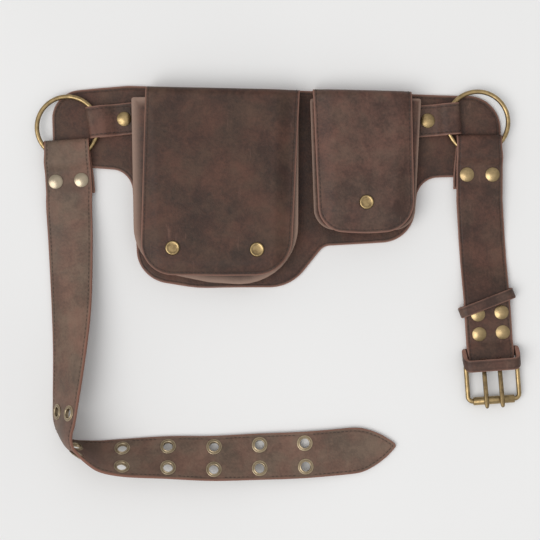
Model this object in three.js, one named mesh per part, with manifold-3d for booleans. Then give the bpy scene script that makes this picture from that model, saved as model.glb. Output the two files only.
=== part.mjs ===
// A leather belt bag lying on its back: a shaped back panel with two flap pouches, a ring at each
// end, a punched strap on the left ring and a strap with a double-prong buckle on the right ring.
// Millimetres, +Z up. The panel rests on z = 0, the pouches face up and the bag's top is at +Y.
import * as THREE from "three";
import { mergeVertices } from "three/addons/utils/BufferGeometryUtils.js";
import Module from "manifold-3d";

const wasm = await Module();
wasm.setup();

// Shared sizes
const GAP = 0.3;
const PANEL_THICKNESS = 3;
const POUCH_THICKNESS = 2;
const TAB_THICKNESS = 2;
const STRAP_THICKNESS = 2.6;
const KEEPER_THICKNESS = 2;
const STRAP_WIDTH = 46;
const BAG_CENTRE = { x: 0.2, y: 0.6 };
const ROUND_SIDES = 10;
const HOLE_SIDES = 8;

// The back panel's outline, corner by corner, each with its rounding radius
const PANEL_CORNERS = [
  { x: -226, y: 190, r: 28 },
  { x: -150, y: 197, r: 60 },
  { x: 223, y: 186, r: 34 },
  { x: 222, y: 107, r: 28 },
  { x: 140, y: 104.5, r: 22 },
  { x: 134, y: 42, r: 34 },
  { x: 46, y: 37, r: 14 },
  { x: 12, y: -4, r: 45 },
  { x: -80, y: -5, r: 120 },
  { x: -139.5, y: 4, r: 34 },
  { x: -146, y: 112, r: 22 },
  { x: -224, y: 118, r: 25 },
];

// Pouches: sides given at the top and bottom, the flap's fold line given at its middle
const SEAM_WIDTH = 6;
const DOME_RAMP = 16;
const GUSSET_INSET = 5;
const GUSSET_FOOT = 8;
const FLAP_CLEARANCE = 2.6;
const FLAP_LEG = 4.5;
const FLAP_SHOULDER = 12;
const FLAP_COLUMN = 19;
const POUCHES = [
  {
    name: "large",
    left: { top: -144.8, bottom: -137 },
    right: { top: 20.2, bottom: 15.7 },
    top: 183.5,
    bottom: 0.2,
    corner: 40,
    depth: 16,
    dome: 4,
    colour: 0x58463e,
    flap: {
      left: { top: -130.3, bottom: -136.1 },
      right: { top: 21.5, bottom: 12.6 },
      fold: 192.3,
      slope: -0.022,
      bottom: 8.1,
      corner: 32,
      colour: 0x59463d,
    },
    snaps: [
      { x: -103.6, y: 34.6 },
      { x: -20.8, y: 33.1 },
    ],
  },
  {
    name: "small",
    left: { top: 31.6, bottom: 36 },
    right: { top: 141.3, bottom: 134.5 },
    top: 182.3,
    bottom: 52.6,
    corner: 20,
    depth: 14,
    dome: 3,
    colour: 0x58463e,
    flap: {
      left: { top: 34.3, bottom: 40.5 },
      right: { top: 131.6, bottom: 134.8 },
      fold: 190.6,
      slope: -0.025,
      bottom: 50.6,
      corner: 26,
      colour: 0x5f473c,
    },
    snaps: [{ x: 86.9, y: 79.8 }],
  },
];

// Rings, and the folded tabs that hold them: inner end, direction and length of each tab
const RING_RADIUS = 30.3;
const WIRE_RADIUS = 2.3;
const RING_HEIGHT = 8.5;
const FOLD_RADIUS = 3.9;
const TAB_WIDTH = 31.5;
const TAB_RIVET_FROM_END = 11.5;
const TAB_DROP = { from: 19.5, to: 27 };
const RING_ENDS = [
  { name: "left", ring: { x: -209.5, y: 155 }, tab: { x: -142, y: 165.7, angle: 186.2, length: 52.3 } },
  { name: "right", ring: { x: 198.5, y: 160 }, tab: { x: 137.5, y: 162, angle: 4.3, length: 46.1 } },
];

// Strap loops round the rings: distances are measured from the outside of the fold
const LOOP_LAP = 50;
const LOOP_FOLD_WIDTH = 43;
const LOOP_RIVET_SPREAD = 12.75;
const LOOP_DROP = { from: 22.5, to: 32 };
const LEFT_LOOP = { x: -211, y: 142.8, angle: 3.7, rivet: 41.2 };
const RIGHT_LOOP = { x: 200.5, y: 147.7, rivet: 39.8 };

// The punched strap, row by row: its table-side edge, the way it faces across and its tilt there
const LEFT_ROWS = [
  { x: -231, y: 78, heading: 3.5, tilt: 2, lift: 4.6, bulge: 0, steps: 2 },
  { x: -229, y: 41, heading: 3, tilt: 12, lift: 1.4, bulge: 0, steps: 4 },
  { x: -225.6, y: -26, heading: 2, tilt: 27, lift: 0.2, bulge: 0, steps: 3 },
  { x: -224.1, y: -70, heading: 1, tilt: 40, lift: 0.1, bulge: 0, steps: 3 },
  { x: -224.1, y: -115, heading: 1, tilt: 51, lift: 0.1, bulge: 1, steps: 3 },
  { x: -223.5, y: -137, heading: 0, tilt: 57, lift: 0.1, bulge: 2, steps: 2 },
  { x: -219.5, y: -148, heading: -3, tilt: 66, lift: 0.3, bulge: 3.5, steps: 3 },
  { x: -212, y: -155, heading: -14, tilt: 74, lift: 0.4, bulge: 5, steps: 3 },
  { x: -202, y: -157.5, heading: -50, tilt: 76, lift: 0.4, bulge: 5, steps: 3 },
  { x: -190, y: -158, heading: -76, tilt: 67, lift: 0.3, bulge: 3.5, steps: 3 },
  { x: -178, y: -158, heading: -84, tilt: 57, lift: 0.1, bulge: 2, steps: 4 },
  { x: -157, y: -156.5, heading: -87, tilt: 46, lift: 0.1, bulge: 1, steps: 5 },
  { x: -111, y: -153.5, heading: -88, tilt: 33, lift: 0.1, bulge: 0, steps: 4 },
  { x: -66, y: -153, heading: -90, tilt: 24, lift: 0.4, bulge: 0, steps: 4 },
  { x: -21, y: -150.5, heading: -90, tilt: 14, lift: 0.9, bulge: 0, steps: 4 },
  { x: 25, y: -148.5, heading: -88, tilt: 4, lift: 1.3, bulge: 0, steps: 3 },
  { x: 72, y: -144.5, heading: -84, tilt: 0, lift: 1.1, bulge: 0, steps: 0 },
];
const STRAP_TIP = { x: 117.5, y: -162 };
const TIP_WIDTHS = [
  { back: 37, width: 44.8 },
  { back: 29, width: 40.5 },
  { back: 20, width: 32.5 },
  { back: 11, width: 21.8 },
  { back: 4, width: 10.5 },
  { back: 0, width: 2.4 },
];

// Eyelets, in pairs, counted back from the strap's tip
const EYELET_PAIRS = 7;
const EYELET_PITCH = 45.5;
const FIRST_EYELET_FROM_TIP = 91;
const EYELET_SPREAD = 11.6;
const EYELET = { bore: 4.6, barrel: 5.1, hole: 5.6, flange: 8, rim: 0.9, seat: 0.5 };

// The buckle strap: where it bends, how it turns, its profile along the way, and its rivets
const BUCKLE_TURN = 4.2;
const BEND_DISTANCE = 64.7;
const BAR_DISTANCE = 227.1;
const BAR_HEIGHT = 5.2;
const RIGHT_PROFILE = [
  { x: 54, y: 4.6 },
  { x: 1.3, y: 4.6, r: FOLD_RADIUS },
  { x: 1.3, y: 12.4, r: FOLD_RADIUS },
  { x: 22, y: 12.4, r: 5 },
  { x: 31, y: 7.5, r: 5 },
  { x: 57, y: 7.5, r: 40 },
  { x: 105, y: 1.4, r: 60 },
  { x: 127, y: 1.4, r: 60 },
  { x: 163, y: 6.6, r: 40 },
  { x: 187, y: 6.6, r: 30 },
  { x: 206, y: 4.8, r: 8 },
  { x: 214, y: 7.3, r: 8 },
  { x: 231, y: 9.7, r: FOLD_RADIUS },
  { x: 231, y: 1.3, r: FOLD_RADIUS },
  { x: 212, y: 1.3, r: 40 },
  { x: 187, y: 3.7, r: 40 },
  { x: 166, y: 3.7 },
];
const BUCKLE_RIVETS = [
  { along: 178.4, across: -10, height: 7.9, tilt: 0 },
  { along: 178, across: 13.5, height: 7.9, tilt: 0 },
  { along: 198.2, across: -10, height: 6.85, tilt: -5.4 },
  { along: 198, across: 13.5, height: 6.85, tilt: -5.4 },
];

// Keepers: the slanted sliding loop, and the loop that leans over the buckle's bar
const SLIDING_KEEPER = { x: 208.1, y: -19.8, angle: 21.4, band: 10.5, half: 28.9, low: 0.05, high: 12.6 };
const BUCKLE_KEEPER = { back: 12, band: 10, half: 28.4, low: 2.9, high: 19, lean: 1 };

// The buckle about the middle of its bar, tip towards -y
const FRAME_HALF = 25.5;
const ROLLER_DISTANCE = 37.6;
const ROLLER = { radius: 4, bore: 2.75, length: 41 };
const PRONG = { eye: 4.2, bore: 2.65, width: 4.2, height: 3.4, tip: 45 };
const PRONG_SLOT = { width: 6.6, length: 17, height: 30, ahead: 1.5 };
const PRONG_PLACES = [
  { name: "left_prong", x: -8 },
  { name: "right_prong", x: 7.6 },
];

// Rivets and snaps
const RIVET = { head: 7.2, rise: 2, shank: 2, back: 4.4, plate: 0.9 };
const SNAP = { head: 7.2, rise: 2.4, shank: 1.9, socket: 5.2, bore: 3.4, button: 2.9, back: 4.6, seat: 0.5 };
const SHANK_CLEARANCE = 0.5;

// Finishes
const LEATHER = 0x58463e;
const PALE_LEATHER = 0x735c52;
const BRASS = 0x967d4b;

const bag = new THREE.Group();
const buckle = new THREE.Group();

const leatherFinish = (color) => new THREE.MeshStandardMaterial({ color, roughness: 0.62, metalness: 0 });
const brassFinish = () => new THREE.MeshStandardMaterial({ color: BRASS, roughness: 0.4, metalness: 1 });

function addPiece(parent, name, geometry, material, matrix = new THREE.Matrix4()) {
  const mesh = new THREE.Mesh(geometry, material);
  mesh.name = name;
  mesh.applyMatrix4(matrix);
  parent.add(mesh);
}

// Small vector helpers
const degrees = THREE.MathUtils.degToRad;
const lerp = THREE.MathUtils.lerp;
const vector = (x, y, z) => new THREE.Vector3(x, y, z);
const flat = (p) => new THREE.Vector2(p.x, p.y);

// A closed surface with its faces turned outwards.
function closedGeometry(positions, triangles) {
  const geometry = new THREE.BufferGeometry();
  geometry.setAttribute("position", new THREE.Float32BufferAttribute(positions, 3));
  const corner = (i) => vector(positions[3 * i], positions[3 * i + 1], positions[3 * i + 2]);
  let volume = 0;
  for (const [a, b, c] of triangles) {
    volume += corner(a).dot(corner(b).cross(corner(c)));
  }
  const outward = volume < 0 ? triangles.map(([a, b, c]) => [a, c, b]) : triangles;
  geometry.setIndex(outward.flat());
  return geometry;
}

// A solid lofted through sections. A section lists its points down one side and back up the other.
function loft(sections, loop = false) {
  const count = sections[0].length;
  const spans = loop ? sections.length : sections.length - 1;
  const triangles = [];
  for (let i = 0; i < spans; i++) {
    const a = i * count;
    const b = ((i + 1) % sections.length) * count;
    for (let j = 0; j < count; j++) {
      const k = (j + 1) % count;
      triangles.push([a + j, b + j, b + k], [a + j, b + k, a + k]);
    }
  }
  if (!loop) {
    const last = (sections.length - 1) * count;
    for (let j = 0; j < count / 2 - 1; j++) {
      const k = count - 1 - j;
      triangles.push([j, j + 1, k], [j + 1, k - 1, k]);
      triangles.push([last + j, last + k, last + j + 1], [last + j + 1, last + k, last + k - 1]);
    }
  }
  const positions = sections.flat().flatMap((p) => [p.x, p.y, p.z]);
  return closedGeometry(positions, triangles);
}

// The normal of a grid of points at one of them, from its neighbours along and across.
function gridNormal(grid, i, j) {
  const row = grid[i];
  const along = grid[Math.min(i + 1, grid.length - 1)][j].clone().sub(grid[Math.max(i - 1, 0)][j]);
  const across = row[Math.min(j + 1, row.length - 1)].clone().sub(row[Math.max(j - 1, 0)]);
  return along.cross(across).normalize();
}

// A leather sheet: a grid of points on its middle surface, thickened to both sides.
function sheet(grid, thickness) {
  const sections = grid.map((row, i) => {
    const offsets = row.map((_, j) => gridNormal(grid, i, j).multiplyScalar(thickness / 2));
    const front = row.map((p, j) => p.clone().add(offsets[j]));
    const back = row.map((p, j) => p.clone().sub(offsets[j]));
    return [...front, ...back.reverse()];
  });
  return loft(sections);
}

// A path through corner points, each rounded by its own radius r, as points in order.
function roundedPath(corners, closed, stepsPerQuarter) {
  const count = corners.length;
  return corners.flatMap((corner, i) => {
    const open = !closed && (i === 0 || i === count - 1);
    if (open || !corner.r) {
      return [flat(corner)];
    }
    const at = flat(corner);
    const back = flat(corners[(i + count - 1) % count]).sub(at).normalize();
    const ahead = flat(corners[(i + 1) % count]).sub(at).normalize();
    const half = Math.acos(THREE.MathUtils.clamp(back.dot(ahead), -1, 1)) / 2;
    const reach = corner.r / Math.tan(half);
    const centre = back.clone().add(ahead).setLength(corner.r / Math.sin(half)).add(at);
    const from = at.clone().addScaledVector(back, reach).sub(centre);
    const sweep = Math.sign(back.cross(ahead)) * (2 * half - Math.PI);
    const spans = Math.ceil((stepsPerQuarter * Math.abs(sweep)) / (Math.PI / 2) - 0.01);
    return Array.from({ length: spans + 1 }, (_, k) =>
      from.clone().rotateAround(new THREE.Vector2(), (sweep * k) / spans).add(centre),
    );
  });
}

// A turned piece: profile points of radius r at height z, about the z axis.
function turned(profile, sides = ROUND_SIDES) {
  const points = profile.map(([r, z]) => new THREE.Vector2(r, z));
  const geometry = new THREE.LatheGeometry(points, sides).rotateX(Math.PI / 2);
  const merged = mergedPositions(geometry);
  const triangles = [];
  for (let i = 0; i < merged.index.count; i += 3) {
    const [a, b, c] = [0, 1, 2].map((k) => merged.index.getX(i + k));
    if (a !== b && b !== c && c !== a) {
      triangles.push([a, b, c]);
    }
  }
  return closedGeometry(Array.from(merged.attributes.position.array), triangles);
}

function mergedPositions(geometry) {
  const bare = new THREE.BufferGeometry();
  bare.setAttribute("position", geometry.getAttribute("position").clone());
  bare.setIndex(geometry.index);
  return mergeVertices(bare, 1e-3);
}

// Cutting and joining of closed geometries.
function asSolid(geometry) {
  const merged = mergedPositions(geometry);
  const vertProperties = merged.attributes.position.array;
  const triVerts = new Uint32Array(merged.index.array);
  return new wasm.Manifold(new wasm.Mesh({ numProp: 3, vertProperties, triVerts }));
}

function asGeometry(solid) {
  const mesh = solid.getMesh();
  const geometry = new THREE.BufferGeometry();
  geometry.setAttribute("position", new THREE.BufferAttribute(new Float32Array(mesh.vertProperties), 3));
  geometry.setIndex(new THREE.BufferAttribute(new Uint32Array(mesh.triVerts), 1));
  return geometry;
}

function cut(geometry, cutters) {
  return asGeometry(cutters.reduce((left, cutter) => left.subtract(asSolid(cutter)), asSolid(geometry)));
}

function join(geometries) {
  const [first, ...rest] = geometries.map(asSolid);
  return asGeometry(rest.reduce((sum, next) => sum.add(next), first));
}

// The profile of a domed head whose flat underside is just over a face at z = 0.
function domedHead(radius, rise) {
  return [[0, GAP + rise], [radius * 0.66, GAP + rise * 0.8], [radius, GAP + rise * 0.25], [radius, GAP]];
}

// A rivet about z, with the leather's front face at z = 0 and its back face at z = -stack.
function rivet(stack) {
  const { head, rise, shank, back, plate } = RIVET;
  const foot = GAP / 2 - stack;
  return turned([
    ...domedHead(head, rise),
    [shank, GAP],
    [shank, foot + plate],
    [back, foot + plate],
    [back, foot],
    [0, foot],
  ]);
}

// The room that a rivet takes up in its leather, with the recess for its back plate.
function rivetHole(stack) {
  const shank = RIVET.shank + SHANK_CLEARANCE;
  const recess = RIVET.plate + 0.5 - stack;
  const back = RIVET.back + SHANK_CLEARANCE;
  const profile = [[0, 1], [shank, 1], [shank, recess], [back, recess], [back, -stack - 1], [0, -stack - 1]];
  return turned(profile, HOLE_SIDES);
}

function peg(radius, low, high) {
  return turned([[0, high], [radius, high], [radius, low], [0, low]]);
}

// Back panel
function panelShape() {
  return new THREE.Shape(roundedPath(PANEL_CORNERS, true, 6));
}

// Pouches: the front bulges from a flat seam along its sides and bottom
const heightPart = (piece, y) => (y - piece.bottom) / (piece.top - piece.bottom);
const sideAt = (side, piece, y) => lerp(side.bottom, side.top, heightPart(piece, y));
const flangeTop = (pouch) => PANEL_THICKNESS + GAP + pouch.depth;

function frontMiddle(pouch, x, y) {
  const fromLeft = x - sideAt(pouch.left, pouch, y);
  const fromRight = sideAt(pouch.right, pouch, y) - x;
  const inside = Math.min(fromLeft, fromRight, y - pouch.bottom);
  const rise = THREE.MathUtils.smoothstep(inside, SEAM_WIDTH, SEAM_WIDTH + DOME_RAMP);
  return flangeTop(pouch) + GAP + POUCH_THICKNESS / 2 + pouch.dome * rise;
}

// Rows of a piece with two rounded lower corners, from the bottom up: height and inset of the sides.
function cornerRows(piece, steps) {
  return Array.from({ length: steps + 1 }, (_, k) => {
    const turn = (Math.PI / 2) * (k / steps);
    const rise = piece.corner * (1 - Math.cos(turn));
    return { y: piece.bottom + rise, inset: piece.corner * (1 - Math.sin(turn)) };
  });
}

// Places across a piece between two sides, closer together near the sides.
function columnsBetween(left, right, insets) {
  const middle = (left + right) / 2;
  return [...insets.map((d) => left + d), middle, ...insets.map((d) => right - d).reverse()];
}

function pouchFront(pouch) {
  const insets = [0, SEAM_WIDTH, SEAM_WIDTH + DOME_RAMP];
  const straight = [0.2, 0.6, 1].map((part) => ({
    y: lerp(pouch.bottom + pouch.corner, pouch.top, part),
    inset: 0,
  }));
  const rows = [...cornerRows(pouch, 5), ...straight];
  const grid = rows.map(({ y, inset }) => {
    const left = sideAt(pouch.left, pouch, y) + inset;
    const right = sideAt(pouch.right, pouch, y) - inset;
    return columnsBetween(left, right, insets).map((x) => vector(x, y, frontMiddle(pouch, x, y)));
  });
  return sheet(grid, POUCH_THICKNESS);
}

// The gusset: a foot on the panel, a wall, and a flange under the front's seam, round three sides.
function pouchGusset(pouch) {
  const rim = roundedPath(
    [
      { x: pouch.left.top, y: pouch.top },
      { x: pouch.left.bottom, y: pouch.bottom, r: pouch.corner },
      { x: pouch.right.bottom, y: pouch.bottom, r: pouch.corner },
      { x: pouch.right.top, y: pouch.top },
    ],
    false,
    5,
  );
  const low = PANEL_THICKNESS + GAP;
  const high = flangeTop(pouch);
  const t = POUCH_THICKNESS;
  const foot = GUSSET_INSET + t + GUSSET_FOOT;
  const outer = [[foot, low], [GUSSET_INSET, low], [GUSSET_INSET, high - t], [0, high - t]];
  const inner = [[foot, low + t], [GUSSET_INSET + t, low + t], [GUSSET_INSET + t, high], [0, high]];
  const sections = rim.map((p, i) => {
    const ahead = rim[Math.min(i + 1, rim.length - 1)].clone().sub(rim[Math.max(i - 1, 0)]).normalize();
    const inward = new THREE.Vector2(-ahead.y, ahead.x);
    return [...outer, ...[...inner].reverse()].map(([inset, z]) =>
      vector(p.x + inward.x * inset, p.y + inward.y * inset, z),
    );
  });
  return loft(sections);
}

// The flap: a leg on the panel, a back that rises over the mouth, and a front that follows the pouch.
function flapMiddle(pouch, x, y) {
  return frontMiddle(pouch, x, y) + POUCH_THICKNESS + FLAP_CLEARANCE;
}

function pouchFlap(pouch) {
  const { flap } = pouch;
  const t = POUCH_THICKNESS;
  const low = PANEL_THICKNESS + GAP + t / 2;
  const insets = [0, FLAP_COLUMN];
  const sides = { left: flap.left, right: flap.right, top: flap.fold, bottom: flap.bottom };
  const columns = (y, inset) =>
    columnsBetween(sideAt(flap.left, sides, y) + inset, sideAt(flap.right, sides, y) - inset, insets);
  const topColumns = columns(flap.fold, 0);
  const centre = topColumns[insets.length];
  const foldAt = (x) => flap.fold - t / 2 + flap.slope * (x - centre);
  const back = topColumns.map((x) => {
    const fold = foldAt(x);
    const high = flapMiddle(pouch, x, fold - FLAP_SHOULDER);
    const profile = [
      { x: fold - FLAP_LEG, y: low },
      { x: fold, y: low, r: 2.5 },
      { x: fold, y: high, r: 6 },
      { x: fold - FLAP_SHOULDER, y: high },
    ];
    return roundedPath(profile, false, 3).map((p) => vector(x, p.x, p.y));
  });
  const backRows = back[0].map((_, k) => back.map((column) => column[k]));
  const corner = cornerRows(flap, 4).reverse();
  const slopeRows = [0.3, 0.6, 0.85].map((part) =>
    topColumns.map((topX, j) => {
      const y = lerp(foldAt(topX) - FLAP_SHOULDER, corner[0].y, part);
      const x = columns(y, 0)[j];
      return vector(x, y, flapMiddle(pouch, x, y));
    }),
  );
  const cornerGrid = corner.map(({ y, inset }) =>
    columns(y, inset).map((x) => vector(x, y, flapMiddle(pouch, x, y))),
  );
  return sheet([...backRows, ...slopeRows, ...cornerGrid], t);
}

// A snap's upper half, with the flap's front face at z = 0: cap, post and socket.
function snapCap() {
  const { head, rise, shank, socket, bore, seat } = SNAP;
  const under = -POUCH_THICKNESS - seat;
  return turned([
    ...domedHead(head, rise),
    [shank, GAP],
    [shank, under],
    [socket, under],
    [socket, under - 1.6],
    [bore, under - 1.6],
    [bore, under - 0.6],
    [0, under - 0.6],
  ]);
}

// A snap's lower half, with the pouch front's face at z = 0: button, post and back plate.
function snapStud() {
  const { button, shank, back, seat } = SNAP;
  const under = -POUCH_THICKNESS - seat;
  return turned([[0, 1.1], [button, 1.1], [button, GAP], [shank, GAP], [shank, under], [back, under],
    [back, under - 0.8], [0, under - 0.8]]);
}

function addPouch(pouch) {
  const hole = SNAP.shank + SHANK_CLEARANCE;
  const half = POUCH_THICKNESS / 2;
  const seats = pouch.snaps.map(({ x, y }, i) => ({
    suffix: pouch.snaps.length > 1 ? `_${i + 1}` : "",
    front: new THREE.Matrix4().makeTranslation(x, y, frontMiddle(pouch, x, y) + half),
    flap: new THREE.Matrix4().makeTranslation(x, y, flapMiddle(pouch, x, y) + half),
  }));
  const holes = (key) => seats.map((seat) => peg(hole, -4, 2).applyMatrix4(seat[key]));
  const front = cut(pouchFront(pouch), holes("front"));
  const flap = cut(pouchFlap(pouch), holes("flap"));
  addPiece(bag, `${pouch.name}_pouch_gusset`, pouchGusset(pouch), leatherFinish(pouch.colour));
  addPiece(bag, `${pouch.name}_pouch_front`, front, leatherFinish(pouch.colour));
  addPiece(bag, `${pouch.name}_pouch_flap`, flap, leatherFinish(pouch.flap.colour));
  for (const seat of seats) {
    addPiece(bag, `${pouch.name}_snap_cap${seat.suffix}`, snapCap(), brassFinish(), seat.flap);
    addPiece(bag, `${pouch.name}_snap_stud${seat.suffix}`, snapStud(), brassFinish(), seat.front);
  }
}

// A frame on the table: x across, y along the way it points, z up.
function tableFrame(x, y, angle) {
  return new THREE.Matrix4().makeRotationZ(degrees(angle)).setPosition(x, y, 0);
}

// Tabs: a strip doubled round the ring's wire, its two layers lying together under the pouch's seam
function ringTab(tab) {
  const low = PANEL_THICKNESS + GAP + TAB_THICKNESS / 2;
  const over = low + 2 * FOLD_RADIUS;
  const closed = low + TAB_THICKNESS + GAP;
  const end = tab.length - TAB_THICKNESS / 2;
  const profile = [
    { x: 0, y: low },
    { x: end, y: low, r: FOLD_RADIUS },
    { x: end, y: over, r: FOLD_RADIUS },
    { x: tab.length - TAB_DROP.from, y: over, r: 4 },
    { x: tab.length - TAB_DROP.to, y: closed, r: 4 },
    { x: 0, y: closed },
  ];
  const frame = tableFrame(tab.x, tab.y, tab.angle);
  const grid = roundedPath(profile, false, 4).map((p) =>
    [-0.5, 0.5].map((side) => vector(p.x, side * TAB_WIDTH, p.y).applyMatrix4(frame)),
  );
  return sheet(grid, TAB_THICKNESS);
}

const tabStack = PANEL_THICKNESS + 2 * (TAB_THICKNESS + GAP);

function tabRivetSeat({ tab }) {
  const seat = new THREE.Matrix4().makeTranslation(TAB_RIVET_FROM_END, 0, tabStack);
  return seat.premultiply(tableFrame(tab.x, tab.y, tab.angle));
}

function addRingEnd(end) {
  const hole = rivetHole(tabStack).applyMatrix4(tabRivetSeat(end));
  const ring = new THREE.TorusGeometry(RING_RADIUS, WIRE_RADIUS, 6, 32);
  const seat = new THREE.Matrix4().makeTranslation(end.ring.x, end.ring.y, RING_HEIGHT);
  addPiece(bag, `${end.name}_tab`, cut(ringTab(end.tab), [hole]), leatherFinish(LEATHER));
  addPiece(bag, `${end.name}_tab_rivet`, rivet(tabStack), brassFinish(), tabRivetSeat(end));
  addPiece(bag, `${end.name}_ring`, ring, brassFinish(), seat);
}

// Straps
const strapStack = 2 * STRAP_THICKNESS + GAP;

// A strap narrows a little where it folds round a ring or the buckle's bar.
function foldedWidth(fromFold) {
  return lerp(LOOP_FOLD_WIDTH, STRAP_WIDTH, THREE.MathUtils.smoothstep(fromFold, 8, 26));
}

// The punched strap's loop, as rows of its two edges and middle.
function leftLoopRows() {
  const low = PANEL_THICKNESS + GAP + STRAP_THICKNESS / 2;
  const over = low + 2 * FOLD_RADIUS;
  const closed = low + STRAP_THICKNESS + GAP;
  const end = STRAP_THICKNESS / 2;
  const profile = [
    { x: LOOP_LAP, y: low },
    { x: end, y: low, r: FOLD_RADIUS },
    { x: end, y: over, r: FOLD_RADIUS },
    { x: LOOP_DROP.from, y: over, r: 5 },
    { x: LOOP_DROP.to, y: closed, r: 5 },
    { x: LOOP_LAP, y: closed },
  ];
  const frame = tableFrame(LEFT_LOOP.x, LEFT_LOOP.y, LEFT_LOOP.angle);
  return roundedPath(profile, false, 4).map((p) =>
    [-0.5, 0, 0.5].map((side) => vector(side * foldedWidth(p.x), -p.x, p.y).applyMatrix4(frame)),
  );
}

// The punched strap's free length: each row's far edge is one strap width away, at its tilt.
function leftBodyRows() {
  const rows = LEFT_ROWS.map((row) => {
    const chord = STRAP_WIDTH - (8 / 3) * (row.bulge ** 2 / STRAP_WIDTH);
    const tilt = degrees(row.tilt);
    const heading = degrees(row.heading);
    const level = vector(Math.cos(heading), Math.sin(heading), 0);
    const across = level.multiplyScalar(Math.cos(tilt)).setZ(Math.sin(tilt));
    const near = vector(row.x, row.y, row.lift + (STRAP_THICKNESS / 2) * Math.cos(tilt));
    return { near, far: near.clone().addScaledVector(across, chord), across, bulge: row.bulge };
  });
  const middles = rows.map((row, i) => {
    const ahead = rows[Math.min(i + 1, rows.length - 1)].near.clone().sub(rows[Math.max(i - 1, 0)].near);
    const front = ahead.cross(row.across).normalize();
    return row.near.clone().add(row.far).multiplyScalar(0.5).addScaledVector(front, row.bulge);
  });
  const edges = [rows.map((row) => row.near), middles, rows.map((row) => row.far)];
  const curves = edges.map((points) => new THREE.CatmullRomCurve3(points, false, "centripetal"));
  return LEFT_ROWS.flatMap(({ steps }, i) =>
    Array.from({ length: Math.max(steps, 1) }, (_, k) => {
      const part = (i + k / Math.max(steps, 1)) / (LEFT_ROWS.length - 1);
      return curves.map((curve) => curve.getPoint(part));
    }),
  );
}

// The pointed tip, narrowing along the line from the strap's last row to its end.
function leftTipRows(lastRow) {
  const tip = vector(STRAP_TIP.x, STRAP_TIP.y, STRAP_THICKNESS / 2 + GAP);
  const length = tip.distanceTo(lastRow[1]);
  const side = lastRow[2].clone().sub(lastRow[0]).normalize();
  return TIP_WIDTHS.map(({ back, width }) => {
    const middle = tip.clone().lerp(lastRow[1], back / length);
    return [-0.5, 0, 0.5].map((part) => middle.clone().addScaledVector(side, part * width));
  });
}

// A point on a strap: distance along its middle, distance across from it, and height over its middle face.
function strapPoint(grid, distances, along, across, height) {
  const i = Math.max(0, Math.min(distances.findIndex((d) => d > along) - 1, grid.length - 2));
  const part = (along - distances[i]) / (distances[i + 1] - distances[i]);
  const place = THREE.MathUtils.clamp(across / STRAP_WIDTH + 0.5, 0, 1) * 2;
  const j = Math.min(Math.floor(place), 1);
  const mix = (read) => {
    const first = read(i, j).lerp(read(i, j + 1), place - j);
    return first.lerp(read(i + 1, j).lerp(read(i + 1, j + 1), place - j), part);
  };
  const normal = mix((a, b) => gridNormal(grid, a, b)).normalize();
  return mix((a, b) => grid[a][b].clone()).addScaledVector(normal, height);
}

// An eyelet about z with the strap's middle face at z = 0, and the hole for it.
function eyelet() {
  const { bore, barrel, flange, rim, seat } = EYELET;
  const inside = STRAP_THICKNESS / 2 + seat;
  const outside = inside + rim;
  return turned([[bore, -outside], [flange, -inside], [barrel, -inside], [barrel, inside], [flange, inside],
    [bore, outside], [bore, -outside]]);
}

function bentOnto(geometry, grid, distances, along, across) {
  const bent = geometry.clone();
  const positions = bent.getAttribute("position");
  for (let i = 0; i < positions.count; i++) {
    const local = vector(0, 0, 0).fromBufferAttribute(positions, i);
    const placed = strapPoint(grid, distances, along + local.y, across + local.x, local.z);
    positions.setXYZ(i, placed.x, placed.y, placed.z);
  }
  return closedGeometry(Array.from(positions.array), trianglesOf(bent));
}

function trianglesOf(geometry) {
  const { index } = geometry;
  return Array.from({ length: index.count / 3 }, (_, i) => [0, 1, 2].map((k) => index.getX(3 * i + k)));
}

function addLeftStrap() {
  const body = leftBodyRows();
  const grid = [...leftLoopRows(), ...body, ...leftTipRows(body[body.length - 1])];
  const distances = [0];
  for (let i = 1; i < grid.length; i++) {
    distances.push(distances[i - 1] + grid[i][1].distanceTo(grid[i - 1][1]));
  }
  const length = distances[distances.length - 1];
  const eyelets = Array.from({ length: EYELET_PAIRS }, (_, i) => {
    const along = length - FIRST_EYELET_FROM_TIP - EYELET_PITCH * (EYELET_PAIRS - 1 - i);
    return [-1, 1].map((side) => ({
      name: `strap_eyelet_${i + 1}${side < 0 ? "a" : "b"}`,
      along,
      across: side * EYELET_SPREAD,
    }));
  }).flat();
  const hole = peg(EYELET.hole, -4, 4);
  const holes = eyelets.map(({ along, across }) => bentOnto(hole, grid, distances, along, across));
  const frame = tableFrame(LEFT_LOOP.x, LEFT_LOOP.y, LEFT_LOOP.angle);
  const seats = [-1, 1].map((side) =>
    new THREE.Matrix4()
      .makeTranslation(side * LOOP_RIVET_SPREAD, -LEFT_LOOP.rivet, PANEL_THICKNESS + GAP + strapStack)
      .premultiply(frame),
  );
  const rivetHoles = seats.map((seat) => rivetHole(strapStack).applyMatrix4(seat));
  const strap = cut(sheet(grid, STRAP_THICKNESS), [...holes, ...rivetHoles]);
  addPiece(bag, "left_strap", strap, leatherFinish(PALE_LEATHER));
  seats.forEach((seat, i) => {
    addPiece(bag, `left_strap_rivet_${i + 1}`, rivet(strapStack), brassFinish(), seat);
  });
  for (const { name, along, across } of eyelets) {
    addPiece(bag, name, bentOnto(eyelet(), grid, distances, along, across), brassFinish());
  }
}

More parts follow.
